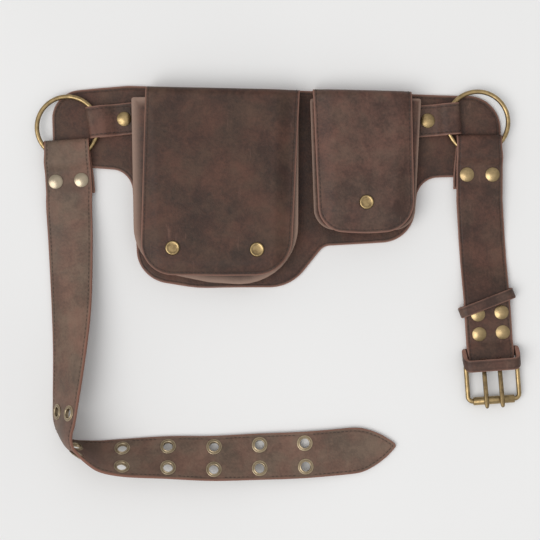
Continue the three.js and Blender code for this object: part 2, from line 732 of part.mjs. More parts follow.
// The buckle strap's plan: straight down from the ring, then turned a little, bent smoothly between.
function rightFrame(along) {
  const past = along - BEND_DISTANCE;
  const ease = 20;
  const turn = BUCKLE_TURN * THREE.MathUtils.smoothstep(along, BEND_DISTANCE - ease, BEND_DISTANCE + ease);
  const down = tableFrame(RIGHT_LOOP.x, RIGHT_LOOP.y, 0);
  const straight = vector(0, -Math.min(along, BEND_DISTANCE), 0).applyMatrix4(down);
  const slant = degrees(BUCKLE_TURN);
  const centre = straight.add(vector(Math.sin(slant), -Math.cos(slant), 0).multiplyScalar(Math.max(past, 0)));
  return tableFrame(centre.x, centre.y, turn);
}

function addRightStrap() {
  const grid = roundedPath(RIGHT_PROFILE, false, 4).map((p) =>
    [-0.5, 0.5].map((side) => {
      const width = foldedWidth(Math.min(p.x, BAR_DISTANCE - p.x + 5));
      return vector(side * width, 0, p.y).applyMatrix4(rightFrame(p.x));
    }),
  );
  const ringSeats = [-1, 1].map((side, i) => ({
    name: `right_strap_rivet_${i + 1}`,
    seat: new THREE.Matrix4()
      .makeTranslation(side * LOOP_RIVET_SPREAD, 0, PANEL_THICKNESS + GAP + strapStack)
      .premultiply(rightFrame(RIGHT_LOOP.rivet)),
  }));
  const buckleSeats = BUCKLE_RIVETS.map(({ along, across, height, tilt }, i) => ({
    name: `buckle_rivet_${i + 1}`,
    seat: new THREE.Matrix4()
      .makeRotationX(degrees(-tilt))
      .setPosition(across, 0, height)
      .premultiply(rightFrame(along)),
  }));
  const seats = [...ringSeats, ...buckleSeats];
  const slots = PRONG_PLACES.map(({ x }) =>
    new THREE.BoxGeometry(PRONG_SLOT.width, PRONG_SLOT.length, PRONG_SLOT.height)
      .translate(x, 0, 0)
      .applyMatrix4(rightFrame(BAR_DISTANCE + PRONG_SLOT.ahead)),
  );
  const cutters = [...seats.map(({ seat }) => rivetHole(strapStack).applyMatrix4(seat)), ...slots];
  addPiece(bag, "right_strap", cut(sheet(grid, STRAP_THICKNESS), cutters), leatherFinish(LEATHER));
  for (const { name, seat } of seats) {
    addPiece(bag, name, rivet(strapStack), brassFinish(), seat);
  }
}

// Keepers: a band of leather closed into a loop across x and z, leaning along -y with height.
function keeperLoop({ half, low, high, band, lean = 0 }) {
  const t = KEEPER_THICKNESS;
  const loopAt = (inset, lowRadius, highRadius) =>
    roundedPath(
      [
        { x: -half + inset, y: low + inset, r: lowRadius },
        { x: half - inset, y: low + inset, r: lowRadius },
        { x: half - inset, y: high - inset, r: highRadius },
        { x: -half + inset, y: high - inset, r: highRadius },
      ],
      true,
      4,
    );
  const outer = loopAt(0, 3, 7);
  const inner = loopAt(t, 1, 5);
  const sections = outer.map((p, i) =>
    [[p, 0.5], [p, -0.5], [inner[i], -0.5], [inner[i], 0.5]].map(([at, side]) =>
      vector(at.x, side * band - lean * (at.y - low), at.y),
    ),
  );
  return loft(sections, true);
}

function addKeepers() {
  const sliding = tableFrame(SLIDING_KEEPER.x, SLIDING_KEEPER.y, SLIDING_KEEPER.angle);
  addPiece(bag, "sliding_keeper", keeperLoop(SLIDING_KEEPER), leatherFinish(LEATHER), sliding);
  const fixed = new THREE.Matrix4().makeTranslation(0, BUCKLE_KEEPER.back, 0);
  addPiece(buckle, "buckle_keeper", keeperLoop(BUCKLE_KEEPER), leatherFinish(LEATHER), fixed);
}

// Buckle: a round-wire frame, a roller on its far bar and two prongs on its near bar
function buckleFrame() {
  const corners = [
    { x: -FRAME_HALF, y: 0, r: 3 },
    { x: -FRAME_HALF, y: -ROLLER_DISTANCE, r: 4.5 },
    { x: FRAME_HALF, y: -ROLLER_DISTANCE, r: 4.5 },
    { x: FRAME_HALF, y: 0, r: 3 },
  ];
  const path = roundedPath(corners, true, 4);
  const sides = 8;
  const sections = path.map((p, i) => {
    const before = path[(i + path.length - 1) % path.length];
    const ahead = path[(i + 1) % path.length].clone().sub(before).normalize();
    return Array.from({ length: sides }, (_, k) => {
      const turn = (2 * Math.PI * k) / sides;
      const out = WIRE_RADIUS * Math.cos(turn);
      return vector(p.x + ahead.y * out, p.y - ahead.x * out, BAR_HEIGHT + WIRE_RADIUS * Math.sin(turn));
    });
  });
  return loft(sections, true);
}

function buckleRoller() {
  const { radius, bore, length } = ROLLER;
  const half = length / 2;
  const tube = turned([[bore, -half], [radius, -half], [radius, half], [bore, half], [bore, -half]], 12);
  return tube.rotateY(Math.PI / 2).translate(0, -ROLLER_DISTANCE, BAR_HEIGHT);
}

// A prong: an eye on the bar, and a shank that lies on the roller and ends in a blunt point.
function buckleProng() {
  const { eye, bore, width, height, tip } = PRONG;
  const across = (geometry) => geometry.rotateY(Math.PI / 2).translate(0, 0, BAR_HEIGHT);
  const rest = BAR_HEIGHT + ROLLER.radius + GAP + height / 2;
  const root = BAR_HEIGHT + eye - height / 2;
  const rise = (rest - root) / ROLLER_DISTANCE;
  const shankRows = [
    { y: 0, size: 1 },
    { y: -tip + 6, size: 1 },
    { y: -tip + 2, size: 0.8 },
    { y: -tip, size: 0.4 },
  ];
  const shank = loft(
    shankRows.map(({ y, size }) => {
      const z = root - y * rise;
      const w = (width / 2) * size;
      const h = (height / 2) * size;
      return [[-w, h * 0.5], [-w * 0.5, h], [w * 0.5, h], [w, h * 0.5], [w, -h * 0.5], [w * 0.5, -h],
        [-w * 0.5, -h], [-w, -h * 0.5]].map(([x, dz]) => vector(x, y, z + dz));
    }),
  );
  const disc = across(peg(eye, -width / 2, width / 2));
  return cut(join([disc, shank]), [across(peg(bore, -width, width))]);
}

function addBuckle() {
  const centre = vector(0, 0, 0).applyMatrix4(rightFrame(BAR_DISTANCE));
  buckle.position.copy(centre);
  buckle.rotation.z = degrees(BUCKLE_TURN);
  bag.add(buckle);
  addPiece(buckle, "buckle_frame", buckleFrame(), brassFinish());
  addPiece(buckle, "buckle_roller", buckleRoller(), brassFinish());
  for (const { name, x } of PRONG_PLACES) {
    addPiece(buckle, name, buckleProng(), brassFinish(), new THREE.Matrix4().makeTranslation(x, 0, 0));
  }
}

const panel = new THREE.ExtrudeGeometry(panelShape(), { depth: PANEL_THICKNESS, bevelEnabled: false });
const panelHoles = RING_ENDS.map((end) => rivetHole(tabStack).applyMatrix4(tabRivetSeat(end)));
addPiece(bag, "back_panel", cut(panel, panelHoles), leatherFinish(LEATHER));
POUCHES.forEach(addPouch);
RING_ENDS.forEach(addRingEnd);
addLeftStrap();
addRightStrap();
addKeepers();
addBuckle();

// The origin is under the middle of the whole bag.
bag.position.set(-BAG_CENTRE.x, -BAG_CENTRE.y, 0);
const part = new THREE.Group();
part.add(bag);

export default part;
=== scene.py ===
"""A leather belt bag lying on a table, dressed over its solids.

Lengths in the tables are millimetres, and angles are degrees.
"""

import math

import bpy
import numpy as np
from bpy.props import FloatProperty, FloatVectorProperty, PointerProperty
from mathutils import Matrix, Vector
from mathutils.geometry import delaunay_2d_cdt


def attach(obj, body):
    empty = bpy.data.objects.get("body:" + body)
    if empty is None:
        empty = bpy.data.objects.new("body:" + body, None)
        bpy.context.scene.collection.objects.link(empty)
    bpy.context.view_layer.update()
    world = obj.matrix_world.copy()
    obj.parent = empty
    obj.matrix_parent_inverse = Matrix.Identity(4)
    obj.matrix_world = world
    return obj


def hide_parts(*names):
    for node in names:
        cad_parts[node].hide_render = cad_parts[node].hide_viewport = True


bl_info = {
    "name": "Belt bag",
    "version": (1, 0, 0),
    "blender": (4, 5, 0),
    "location": "3D View > Sidebar > Belt bag",
    "description": "Builds a leather belt bag with two pouches, rings and a double-prong buckle",
    "category": "Object",
}

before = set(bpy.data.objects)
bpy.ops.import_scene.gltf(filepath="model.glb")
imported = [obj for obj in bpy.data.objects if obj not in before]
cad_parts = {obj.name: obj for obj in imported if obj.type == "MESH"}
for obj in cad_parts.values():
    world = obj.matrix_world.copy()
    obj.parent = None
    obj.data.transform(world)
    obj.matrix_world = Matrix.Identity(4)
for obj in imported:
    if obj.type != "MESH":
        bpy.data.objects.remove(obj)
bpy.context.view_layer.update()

# Shared sizes
MM = 0.001
CENTRE = np.array([0.2, 0.6, 0.0])
GAP = 0.3
PANEL_THICKNESS = 3.0
POUCH_THICKNESS = 2.0
TAB_THICKNESS = 2.0
STRAP_THICKNESS = 2.6
KEEPER_THICKNESS = 2.0
STRAP_WIDTH = 46.0
SEAT = 0.06

# Meshing: limits, steps along paths and sides of round shapes
SLIVER = 1e-3
ON_AXIS = 1e-6
SAME_POINT = 1e-6
GRID_ROW = 0.866
GRID_MARGIN = 0.6
PANEL_STEP = 2.4
CUT_STEP = 2.0
STRIP_STEP = 1.6
RIM_STEP = 1.5
KEEPER_STEP = 1.3
STRAP_ROW_STEP = 1.2
BUCKLE_STEP = 1.2
SLOT_STEP = 1.0
LOOP_STEP = 0.9
TAB_STEP = 0.8
WALL_STEP = 0.5
QUARTER = 10
FINE_QUARTER = 16
RING_SIDES = 120
WIRE_SIDES = 16
PRONG_SIDES = 16
TURNED_SIDES = 40
PRONG_EYE_SIDES = 32
EYELET_SIDES = 32
EYELET_HOLE_SIDES = 28
RIVET_HOLE_SIDES = 14

# Reach over which a surface's directions are taken, and over which an eyelet seats itself
SURFACE_REACH = 0.6
EYELET_REACH = 5.0

# Leather sheets: turns of a cut edge, distance between mesh points and rounding of the cut edges
CUT_TURNS = np.radians([90, 55, 20])
SHEET_DETAIL = {
    "panel": (5.0, 1.0), "gusset": (2.6, 0.6), "front": (3.4, 0.7), "flap": (2.8, 0.7),
    "tab": (2.0, 0.7), "punched_strap": (2.5, 0.55), "buckle_strap": (2.3, 0.7),
}

# The back panel's outline: x, y and rounding radius of each corner, counter-clockwise
PANEL_CORNERS = [
    (-224, 118, 25), (-146, 112, 22), (-139.5, 4, 34), (-80, -5, 120), (12, -4, 45),
    (46, 37, 14), (134, 42, 34), (140, 104.5, 22), (222, 107, 28), (223, 186, 34),
    (-150, 197, 60), (-226, 190, 28),
]

# Unevenness of the leather: its size, the length of its waves and their phase
PANEL_RIPPLES = [(0.35, 17.0, 0.4), (0.35, 21.0, 1.9)]
CROSS_WAVES = 1.3
SLANTED_WAVES = 0.7
SLANTED_SHARE = 0.7
FLAP_RIPPLE = (0.55, 34.0)
FLAP_RIPPLE_START = 30
KEEPER_RIPPLE = (0.1, 9.0, 1.7)

# Pouches: sides at the top and the bottom, edges corner by corner, and the front's pale edge band
# as strength and width: painted light along the front's lower edge, and partly rubbing
POUCH_FOOT = PANEL_THICKNESS + GAP + POUCH_THICKNESS / 2
SEAM_WIDTH = 6.0
DOME_RAMP = 16.0
DOME_SOFTNESS = 4.0
DOME_LIMITS = (-60, 200)
GUSSET_INSET = 6.0
GUSSET_FOOT = 15.0
GUSSET_BEND = 2.5
GUSSET_BOW = (0.9, 30)
GUSSET_FLANGE = 0.6
FRONT_CORNER = 2
FLAP_CORNER = 1.5
FLAP_CLEARANCE = 2.6
FLAP_LEG = 4.5
FLAP_SHOULDER = 12.0
FLAP_TOP_BEND = 6.0
FLAP_FOOT_BEND = 2.5
POUCHES = {
    "large": {
        "left": (-144.8, -137.0), "right": (20.2, 15.7), "top": 183.5, "bottom": 0.2,
        "lower_edge": [(-142, 19.4, 48), (-68.5, -1.2, 210), (19.8, -0.6, 58)],
        "depth": 16.0, "dome": 4.0, "front_light_and_wear": (0.85, 11.0),
        "flap_left": -130.3, "flap_right": 21.5, "fold": 192.3, "slope": -0.022, "phase": 0.8,
        "flap_edge": [(-136.1, 8.3, 32), (-55, 7.4, 300), (12.6, 8.1, 37)],
        "snaps": [(-103.6, 34.6), (-20.8, 33.1)],
    },
    "small": {
        "left": (31.6, 36.0), "right": (141.3, 134.5), "top": 182.3, "bottom": 52.6,
        "lower_edge": [(36.0, 52.6, 21), (134.5, 52.6, 21)],
        "depth": 14.0, "dome": 3.0, "front_light_and_wear": (0.55, 3.2),
        "flap_left": 34.3, "flap_right": 131.6, "fold": 190.6, "slope": -0.025, "phase": 1.8,
        "flap_edge": [(40.5, 51.4, 26), (88, 48.8, 140), (134.8, 52.3, 31)],
        "snaps": [(86.9, 79.8)],
    },
}

# Rings, and the folded tabs that hold them: x, y, angle and length
RING_RADIUS = 30.3
WIRE_RADIUS = 2.3
RING_HEIGHT = 8.5
FOLD_RADIUS = 3.9
TAB_WIDTH = 31.5
TAB_RIVET_FROM_END = 11.5
TAB_DROP_START = 15.9
TAB_DROP_BEFORE_RIVET = 8.2
TAB_DROP_BEND = 14.0
RINGS = {"left": (-209.5, 155.0), "right": (198.5, 160.0)}
TABS = {"left": (-141.8, 164.6, 186.4, 47.9), "right": (137.5, 160.7, 4.3, 44.2)}
TAB_SLANT = {"left": 1.9, "right": 0.0}

# Strap loops round the rings, measured from the outside of the fold
LOOP_LAP = 50.0
UNDER_LAP = 54.5
UNDER_SAG = 1.0
LOOP_FOLD_HALF = 21.7
LOOP_FOLD_EASE = (8, 26)
LOOP_LEAD = 6
LOOP_RIVET_SPREAD = 12.75
LOOP_DROP = (22.5, 32.0)
LOOP_DROP_BEND = 8
UNDER_BEND = 60
UNDER_SLANT = {"left": 2.2, "right": -2.8}
UNDER_SLANT_EASE = (6, 46)
LEFT_LOOP = {"x": -211.0, "y": 142.8, "angle": 3.7, "rivet": 41.2}
RIGHT_LOOP = {"x": 200.5, "y": 147.7, "rivet": 39.8}

# The punched strap, row by row: table-side edge x and y, heading, tilt, lift and bulge
LEFT_ROWS = [
    (-231, 78, 3.5, 2, 4.6, 0), (-229, 41, 3, 12, 1.4, 0), (-225.6, -26, 2, 27, 0.2, 0),
    (-224.1, -70, 1, 40, 0.1, 0), (-224.1, -115, 1, 51, 0.1, 1), (-223.5, -137, 0, 57, 0.1, 2),
    (-219.5, -148, -3, 66, 0.3, 3.5), (-212, -155, -14, 74, 0.4, 5),
    (-202, -157.5, -50, 76, 0.4, 5), (-190, -158, -76, 67, 0.3, 3.5),
    (-178, -158, -84, 57, 0.1, 2), (-157, -156.5, -87, 46, 0.1, 1),
    (-111, -153.5, -88, 33, 0.1, 0), (-66, -153, -90, 24, 0.4, 0), (-21, -150.5, -90, 14, 0.9, 0),
    (25, -148.5, -88, 7, 1.3, 0), (72, -144.5, -84, 0, 1.1, 0),
]

# The strap's tip: its place, and the strap's width at distances back from it
STRAP_TIP = (117.5, -162.0)
TIP_BACK = [0, 1, 4, 7.5, 11, 15.5, 20, 24.5, 29, 33, 37, 42, 48]
TIP_WIDTH = [2.4, 5, 10.5, 16.3, 21.8, 27.4, 32.5, 36.9, 40.5, 43.1, 44.8, 45.8, 46]

# Eyelets, in pairs, counted back from the strap's tip
EYELET_PAIRS = 7
EYELET_PITCH = 45.5
FIRST_EYELET_FROM_TIP = 91.0
EYELET_SPREAD = 11.6
EYELET_HOLE = 5.4

# Half a rolled eyelet, bore, bead and flange: radius, height over the strap's face, rubbing
EYELET_HALF = [
    (4.6, -0.4, 0.2), (4.7, 0.55, 0.7), (5.05, 1.0, 1.0), (5.4, 1.05, 1.0), (5.8, 0.7, 0.5),
    (6.1, 0.45, 0.2), (6.9, 0.45, 0.2), (7.3, 0.5, 0.9), (7.7, 0.4, 0.9), (8.0, 0.0, 0.2),
    (5.2, 0.0, 0.0),
]

# The buckle strap: profile (distance, height, rounding), rivets (distance, side, height, tilt)
BUCKLE_TURN = 4.2
BEND_DISTANCE = 64.7
BEND_EASE = 20.0
BAR_DISTANCE = 227.1
BAR_HEIGHT = 5.2
BAR_FOLD_EASE = 14.0
RIGHT_PROFILE = [
    (54, 4.6), (1.3, 4.6, FOLD_RADIUS), (1.3, 12.4, FOLD_RADIUS), (22, 12.4, 5), (31, 7.5, 5),
    (57, 7.5, 40), (105, 1.4, 60), (127, 1.4, 60), (163, 6.6, 40), (187, 6.6, 30), (206, 4.8, 8),
    (214, 7.3, 8), (231, 9.7, FOLD_RADIUS), (231, 1.3, FOLD_RADIUS), (212, 1.3, 40),
    (187, 3.7, 40), (166, 3.7),
]
BUCKLE_RIVETS = [
    (178.4, -10, 7.9, 0), (178, 13.5, 7.9, 0), (198.2, -10, 6.85, -5.4), (198, 13.5, 6.85, -5.4),
]
PRONG_SLOT = {"width": 6.6, "back": 3.8, "back_below": 4.9, "corner": 1.2}

# Keepers
KEEPER_CREASE = 1.9
KEEPER_ROUNDING = 0.7
KEEPER_TURNS = np.radians([0, 30, 60, 90])
KEEPER_CORNERS = (2, 6)
KEEPER_FACE_DEPTH = 0.2
SLIDING_KEEPER = {
    "band": 10.5, "half": 28.9, "low": 0.05, "high": 13.1, "lean": 0, "flare": 0, "wall": 0,
}
SLIDING_PLACE = (208.1, -19.8, 21.4)
BUCKLE_KEEPER = {
    "band": 10.0, "half": 28.4, "low": 2.9, "high": 19.0, "lean": 0.86, "flare": 2.0, "wall": 2.3,
}
BUCKLE_KEEPER_BACK = 10.9

# The buckle about the middle of its bar, tip towards -y, with a prong's sections: place and size
FRAME_HALF = 25.5
FRAME_CORNERS = (3, 5)
ROLLER_DISTANCE = 37.6
ROLLER = {"radius": 4.0, "bore": 2.75, "length": 41.0, "bevel": (0.4, 0.5)}
PRONG = {"eye": 4.2, "bore": 2.65, "width": 4.2, "height": 3.4, "bevel": (0.5, 0.5)}
PRONG_SQUARENESS = 0.6
PRONGS = {"left_prong": -8.0, "right_prong": 7.6}
PRONG_SECTIONS = [
    (-3.4, 0.98), (-12, 1.04), (-25, 1.06), (-37, 1.08), (-41, 1.04), (-43.2, 0.9),
    (-44.4, 0.66), (-45, 0.3),
]

# Rivets: radius and rise of the head, radius of the shank and of the back
RIVET_HEAD = (7.2, 2.2)
RIVET_SHANK = 2.0
RIVET_BACK = 4.4
RIVET_HOLE = 2.5

# A rivet's back: heights of its top, edge and foot over the foot of the stack, and its bevel
BACK_TOP, BACK_EDGE, BACK_FOOT = 0.9, 0.3, 0.15
BACK_BEVEL = 0.5
BACK_RUBBED = {"edge": 0.3, "foot": 0.6}

# A domed head: its turns, its foot and rim as shares of its rise, and how rubbed it is
HEAD_TURNS = np.radians(np.linspace(0, 84, 10))
HEAD_FOOT, HEAD_RIM = 0.22, 0.16
HEAD_RUBBED = {"foot": 0.35, "rim": 0.15, "fade": 0.4}

# Leather that the rivets go through
TAB_STACK = PANEL_THICKNESS + 2 * (TAB_THICKNESS + GAP)
STRAP_STACK = 2 * STRAP_THICKNESS + GAP

# Snaps, turned from radius, height and rubbing: caps have a browned middle inside a rubbed rim
SNAP_HOLE = 2.4
SNAP_CAP = [
    (0, 1.75, 0.65), (3.2, 1.8, 0.65), (4.7, 1.85, 0.55), (5.2, 2.05, 0.75), (5.7, 2.25, 1.0),
    (6.2, 2.2, 1.0), (6.7, 1.85, 0.9), (7.05, 1.2, 0.6), (7.2, 0.5, 0.2), (7.2, -SEAT, 0.0),
    (1.9, -SEAT, 0), (1.9, -2.0, 0), (5.2, -2.0, 0.3), (5.2, -3.8, 0.5), (4.9, -4.1, 0.6),
    (3.4, -4.1, 0.5), (3.4, -3.1, 0.2), (0, -3.1, 0.2),
]
SNAP_STUD = [
    (0, 1.1, 0.8), (2.5, 1.1, 0.8), (2.9, 0.8, 0.8), (2.7, 0.3, 0.4), (1.9, 0.0, 0.1),
    (1.9, -2.0, 0), (4.6, -2.0, 0.2), (4.6, -3.1, 0.4), (4.3, -3.3, 0.6), (0, -3.3, 0.6),
]

# How rubbed the hard-worn pieces are
RUBBED = {"prong_eye": 0.4, "prong_shank": 0.8, "roller": 0.8}

# How tarnished each kind of brass is, and how pale where it is thinly plated
BRASS_WEAR = {
    "ring": (0.75, 0.0), "buckle": (0.65, 0.0), "tab_rivets": (0.7, 0.0),
    "strap_rivets": (0.25, 0.4), "buckle_strap_rivets": (0.5, 0.05), "snap_caps": (0.75, 0.0),
    "snap_studs": (0.75, 0.0), "strap_eyelets": (0.4, 0.28),
}

# Tints of the leather, gains of its cut edges, and the rubbed pale band along its edges (strength
# and width in mm); on the pouch fronts that band and their edge gain are painted light as well
REDDER, BROWNER = (1.08, 0.965, 0.95, 1), (0.93, 1.005, 0.99, 1)
FRONT_EDGE_AND_LIGHT_GAIN = (1.05, 1.35, 1.4)
STRAP_EDGE = (0.8, 0.72, 0.68)
EVEN_WEAR = (0.5, 1.7)
STRAP_WEAR = (0.8, 1.6)
STRAP_CALM = 0.66
NO_STITCH_LINE = -10.0

# Sewn pieces and the faces that show their stitches: front (1) and back (-1)
STITCH_CLEARANCE = 7.0
STITCH_STEPS = 4
SEAM_TOLERANCE = 0.25
THREAD_FLATNESS = 0.8
SEWN = {
    "bag_panel": (1,), "large_flap": (1, -1), "small_flap": (1, -1), "left_ring_tab": (1, -1),
    "right_ring_tab": (1, -1), "punched_strap": (1, -1), "buckle_strap": (1, -1),
}

# The stage, in metres; the camera's sensor is in millimetres
FLOOR_HALF = 3.0
FLOOR_DROP = 0.0004
FLOOR_CLOUDS = 0.015
WINDOW_PLACE = (-1.15, -0.75, 1.9)
WINDOW_COLOUR = (1.0, 0.99, 0.97)
OVERHEAD_PLACE = (0, 0, 2.2)
OVERHEAD_WIDTH = 3.0
WHITE = (1.0, 1.0, 1.0)
CAMERA_OVER = (-0.0082, 0.0124)
CAMERA_SENSOR = 36.0

# Leather sheets as they are cut, by name, for the stitching
SHEETS = {}


# Small helpers

def unit(vectors):
    """Vectors scaled to a length of one."""
    return vectors / np.linalg.norm(vectors, axis=-1, keepdims=True)


def smoothstep(value, low, high):
    """0 below low, 1 above high and a soft slope between them."""
    part = np.clip((value - low) / (high - low), 0, 1)
    return part * part * (3 - 2 * part)


def turned_place(x, y, angle):
    """A frame on the table: rotation by angle degrees, then a shift."""
    return Matrix.Translation((x, y, 0)) @ Matrix.Rotation(math.radians(angle), 4, "Z")


def moved(matrix, points):
    """Points turned and shifted by a matrix."""
    return np.asarray(points) @ np.array(matrix.to_3x3()).T + np.array(matrix.translation)


def rounded_path(corners, closed=False, per_quarter=QUARTER):
    """A path through corners, each rounded by its own radius."""
    count = len(corners)
    points = []
    for i, corner in enumerate(corners):
        at = np.array(corner[:2], float)
        radius = corner[2] if len(corner) > 2 else 0
        if not radius or (not closed and i in (0, count - 1)):
            points.append(at)
            continue
        back = unit(np.array(corners[i - 1][:2]) - at)
        ahead = unit(np.array(corners[(i + 1) % count][:2]) - at)
        half = math.acos(np.clip(back @ ahead, -1, 1)) / 2
        centre = at + unit(back + ahead) * radius / math.sin(half)
        start = at + back * radius / math.tan(half) - centre
        sweep = math.copysign(1, back[0] * ahead[1] - back[1] * ahead[0]) * (2 * half - math.pi)
        steps = max(2, math.ceil(per_quarter * abs(sweep) / (math.pi / 2)))
        for turn in np.linspace(0, sweep, steps + 1):
            cos, sin = math.cos(turn), math.sin(turn)
            x, y = start[0] * cos - start[1] * sin, start[0] * sin + start[1] * cos
            points.append(centre + [x, y])
    return np.array(points)


def lengths_along(points):
    """Each point's length along a path."""
    return np.concatenate([[0], np.cumsum(np.linalg.norm(np.diff(points, axis=0), axis=1))])


def along_path(s, lengths, points):
    """Where a path is at lengths along it, column by column."""
    return [np.interp(s, lengths, column) for column in points.T]


def headings(points):
    """Directions along a closed path."""
    return unit(np.roll(points, -1, axis=0) - np.roll(points, 1, axis=0))


def spaced(points, spacing, closed=False):
    """The same path as points an even distance apart."""
    if closed:
        points = np.vstack([points, points[:1]])
    lengths = lengths_along(points)
    count = max(3, round(lengths[-1] / spacing))
    at = np.linspace(0, lengths[-1], count + 1)
    if closed:
        at = at[:-1]
    return np.column_stack(along_path(at, lengths, points))


def circle(x, y, radius, sides):
    """Points round a circle, counter-clockwise."""
    turns = np.linspace(0, 2 * math.pi, sides, endpoint=False)
    return np.column_stack([x + radius * np.cos(turns), y + radius * np.sin(turns)])


def rivet_hole(x, y):
    """The hole in the leather for a rivet's shank."""
    return circle(x, y, RIVET_HOLE, RIVET_HOLE_SIDES)


def ripple(x, y, size, wave, phase):
    """A gentle unevenness of the leather."""
    a = np.sin(x / wave + phase) * np.cos(y / wave * CROSS_WAVES - phase * 2)
    b = np.sin((x + y) / wave * SLANTED_WAVES + phase * 3) * SLANTED_SHARE
    return size * (a + b) / (1 + SLANTED_SHARE)


# Leather sheets: a flat cut-out with holes, laid on a curved surface and given thickness

def inside(points, loop):
    """Which points lie inside a loop."""
    x, y = points.T
    hit = np.zeros(len(points), bool)
    for (ax, ay), (bx, by) in zip(loop, np.roll(loop, -1, axis=0)):
        if ay != by:
            hit ^= ((ay > y) != (by > y)) & (x < (bx - ax) * (y - ay) / (by - ay) + ax)
    return hit


def border_distance(points, loops):
    """Each point's distance to the nearest of the loops."""
    nearest = np.full(len(points), np.inf)
    for loop in loops:
        for a, b in zip(loop, np.roll(loop, -1, axis=0)):
            part = np.clip((points - a) @ (b - a) / ((b - a) @ (b - a)), 0, 1)
            gaps = np.linalg.norm(points - a - part[:, None] * (b - a), axis=1)
            nearest = np.minimum(nearest, gaps)
    return nearest


def within(points, loops):
    """Which points lie inside the first loop and outside the others."""
    keep = inside(points, loops[0])
    for hole in loops[1:]:
        keep &= ~inside(points, hole)
    return keep


def flat_triangles(loops, spacing):
    """Triangles over a cut-out, with evenly spread points inside it."""
    low, high = loops[0].min(0), loops[0].max(0)
    rows = []
    for i, y in enumerate(np.arange(low[1], high[1], spacing * GRID_ROW)):
        x = np.arange(low[0] + (i % 2) * spacing / 2, high[0], spacing)
        rows.append(np.column_stack([x, np.full(len(x), y)]))
    fill = np.vstack(rows)
    fill = fill[within(fill, loops)]
    fill = fill[border_distance(fill, loops) > spacing * GRID_MARGIN]
    edges = []
    start = 0
    for loop in loops:
        edges += [(start + i, start + (i + 1) % len(loop)) for i in range(len(loop))]
        start += len(loop)
    points = [Vector(p) for p in np.vstack([*loops, fill])]
    cut = delaunay_2d_cdt(points, edges, [], 0, SAME_POINT)
    points = np.array([p[:] for p in cut[0]])
    faces = np.array(cut[2])
    faces = faces[within(points[faces].mean(1), loops)]
    a, b, c = (points[faces[:, k]] for k in range(3))
    turn = (b - a)[:, 0] * (c - a)[:, 1] - (b - a)[:, 1] * (c - a)[:, 0]
    faces[turn < 0] = faces[turn < 0][:, ::-1]
    return points, faces[np.abs(turn) > SLIVER]


def surface_axes(surface, points, reach=SURFACE_REACH):
    """Directions along, across and out of a surface."""
    along = unit(surface(points + [reach, 0]) - surface(points - [reach, 0]))
    across = unit(surface(points + [0, reach]) - surface(points - [0, reach]))
    return along, across, unit(np.cross(along, across))


def leather_sheet(name, loops, surface, thickness, material, detail):
    """A leather piece with softly rounded cut edges.

    Its edge attribute is the distance to the outer cut in mm, and -1 on the cut itself.
    """
    spacing, rounding = detail
    points, faces = flat_triangles(loops, spacing)
    along, across, normal = surface_axes(surface, points)
    ends = np.vstack([faces[:, [0, 1]], faces[:, [1, 2]], faces[:, [2, 0]]])
    _, first, count = np.unique(
        np.sort(ends, axis=1), axis=0, return_index=True, return_counts=True,
    )
    border = ends[first[count == 1]]
    if len(border) != sum(len(loop) for loop in loops):
        raise RuntimeError(f"{name}: the cut edge isn't closed")
    step = points[border[:, 1]] - points[border[:, 0]]
    out = unit(np.column_stack([step[:, 1], -step[:, 0]]))
    outward = np.zeros_like(points)
    np.add.at(outward, border[:, 0], out)
    np.add.at(outward, border[:, 1], out)
    rim = np.unique(border)
    outward = unit(outward[rim])
    outward = outward[:, :1] * along[rim] + outward[:, 1:] * across[rim]
    half = thickness / 2
    profile = [(rounding * (np.cos(t) - 1), half - rounding * (1 - np.sin(t))) for t in CUT_TURNS]
    profile += [(reach, -height) for reach, height in reversed(profile)]
    middle = surface(points)
    front, back = middle + normal * half, middle - normal * half
    rows = [middle[rim] + outward * reach + normal[rim] * height for reach, height in profile]
    front[rim], back[rim] = rows[0], rows[-1]
    total = len(points)
    place_of = np.full(total, -1)
    place_of[rim] = np.arange(len(rim))
    chain = [lambda i: i]
    for k in range(len(profile) - 2):
        chain.append(lambda i, start=2 * total + k * len(rim): start + place_of[i])
    chain.append(lambda i: i + total)
    polygons = [tuple(f) for f in faces] + [tuple(f[::-1] + total) for f in faces]
    for upper, lower in zip(chain, chain[1:]):
        polygons += [(upper(b), upper(a), lower(a), lower(b)) for a, b in border]
    edge = border_distance(points, loops[:1])
    edges = np.concatenate([edge, edge, np.full(len(rim) * (len(profile) - 2), -1.0)])
    SHEETS[name] = {"loops": loops, "surface": surface, "half": half}
    skin = np.vstack([front, back, *rows[1:-1]])
    return make_piece(name, skin, polygons, material, "edge", edges)


def linked(name, data):
    """A new object in the scene."""
    made = bpy.data.objects.new(name, data)
    bpy.context.scene.collection.objects.link(made)
    return made


def make_piece(name, points, polygons, material, label, values):
    """A closed mesh, faces outwards, with its material and the attribute that this reads."""
    points = np.asarray(points, float)
    volume = 0.0
    for polygon in polygons:
        a, b, c = points[polygon[0]], points[polygon[1]], points[polygon[2]]
        volume += a @ np.cross(b, c)
        if len(polygon) == 4:
            volume += a @ np.cross(c, points[polygon[3]])
    if volume < 0:
        polygons = [polygon[::-1] for polygon in polygons]
    mesh = bpy.data.meshes.new(name)
    mesh.from_pydata(((points - CENTRE) * MM).tolist(), [], [[int(i) for i in p] for p in polygons])
    attribute = mesh.attributes.new(label, "FLOAT", "POINT")
    attribute.data.foreach_set("value", np.asarray(values, np.float32))
    mesh.materials.append(material)
    mesh.shade_smooth()
    return linked(name, mesh)


def rubbed_piece(name, points, polygons, material, rubbed):
    """A metal piece that is rubbed to the same degree all over."""
    return make_piece(name, points, polygons, material, "rubbed", np.full(len(points), rubbed))


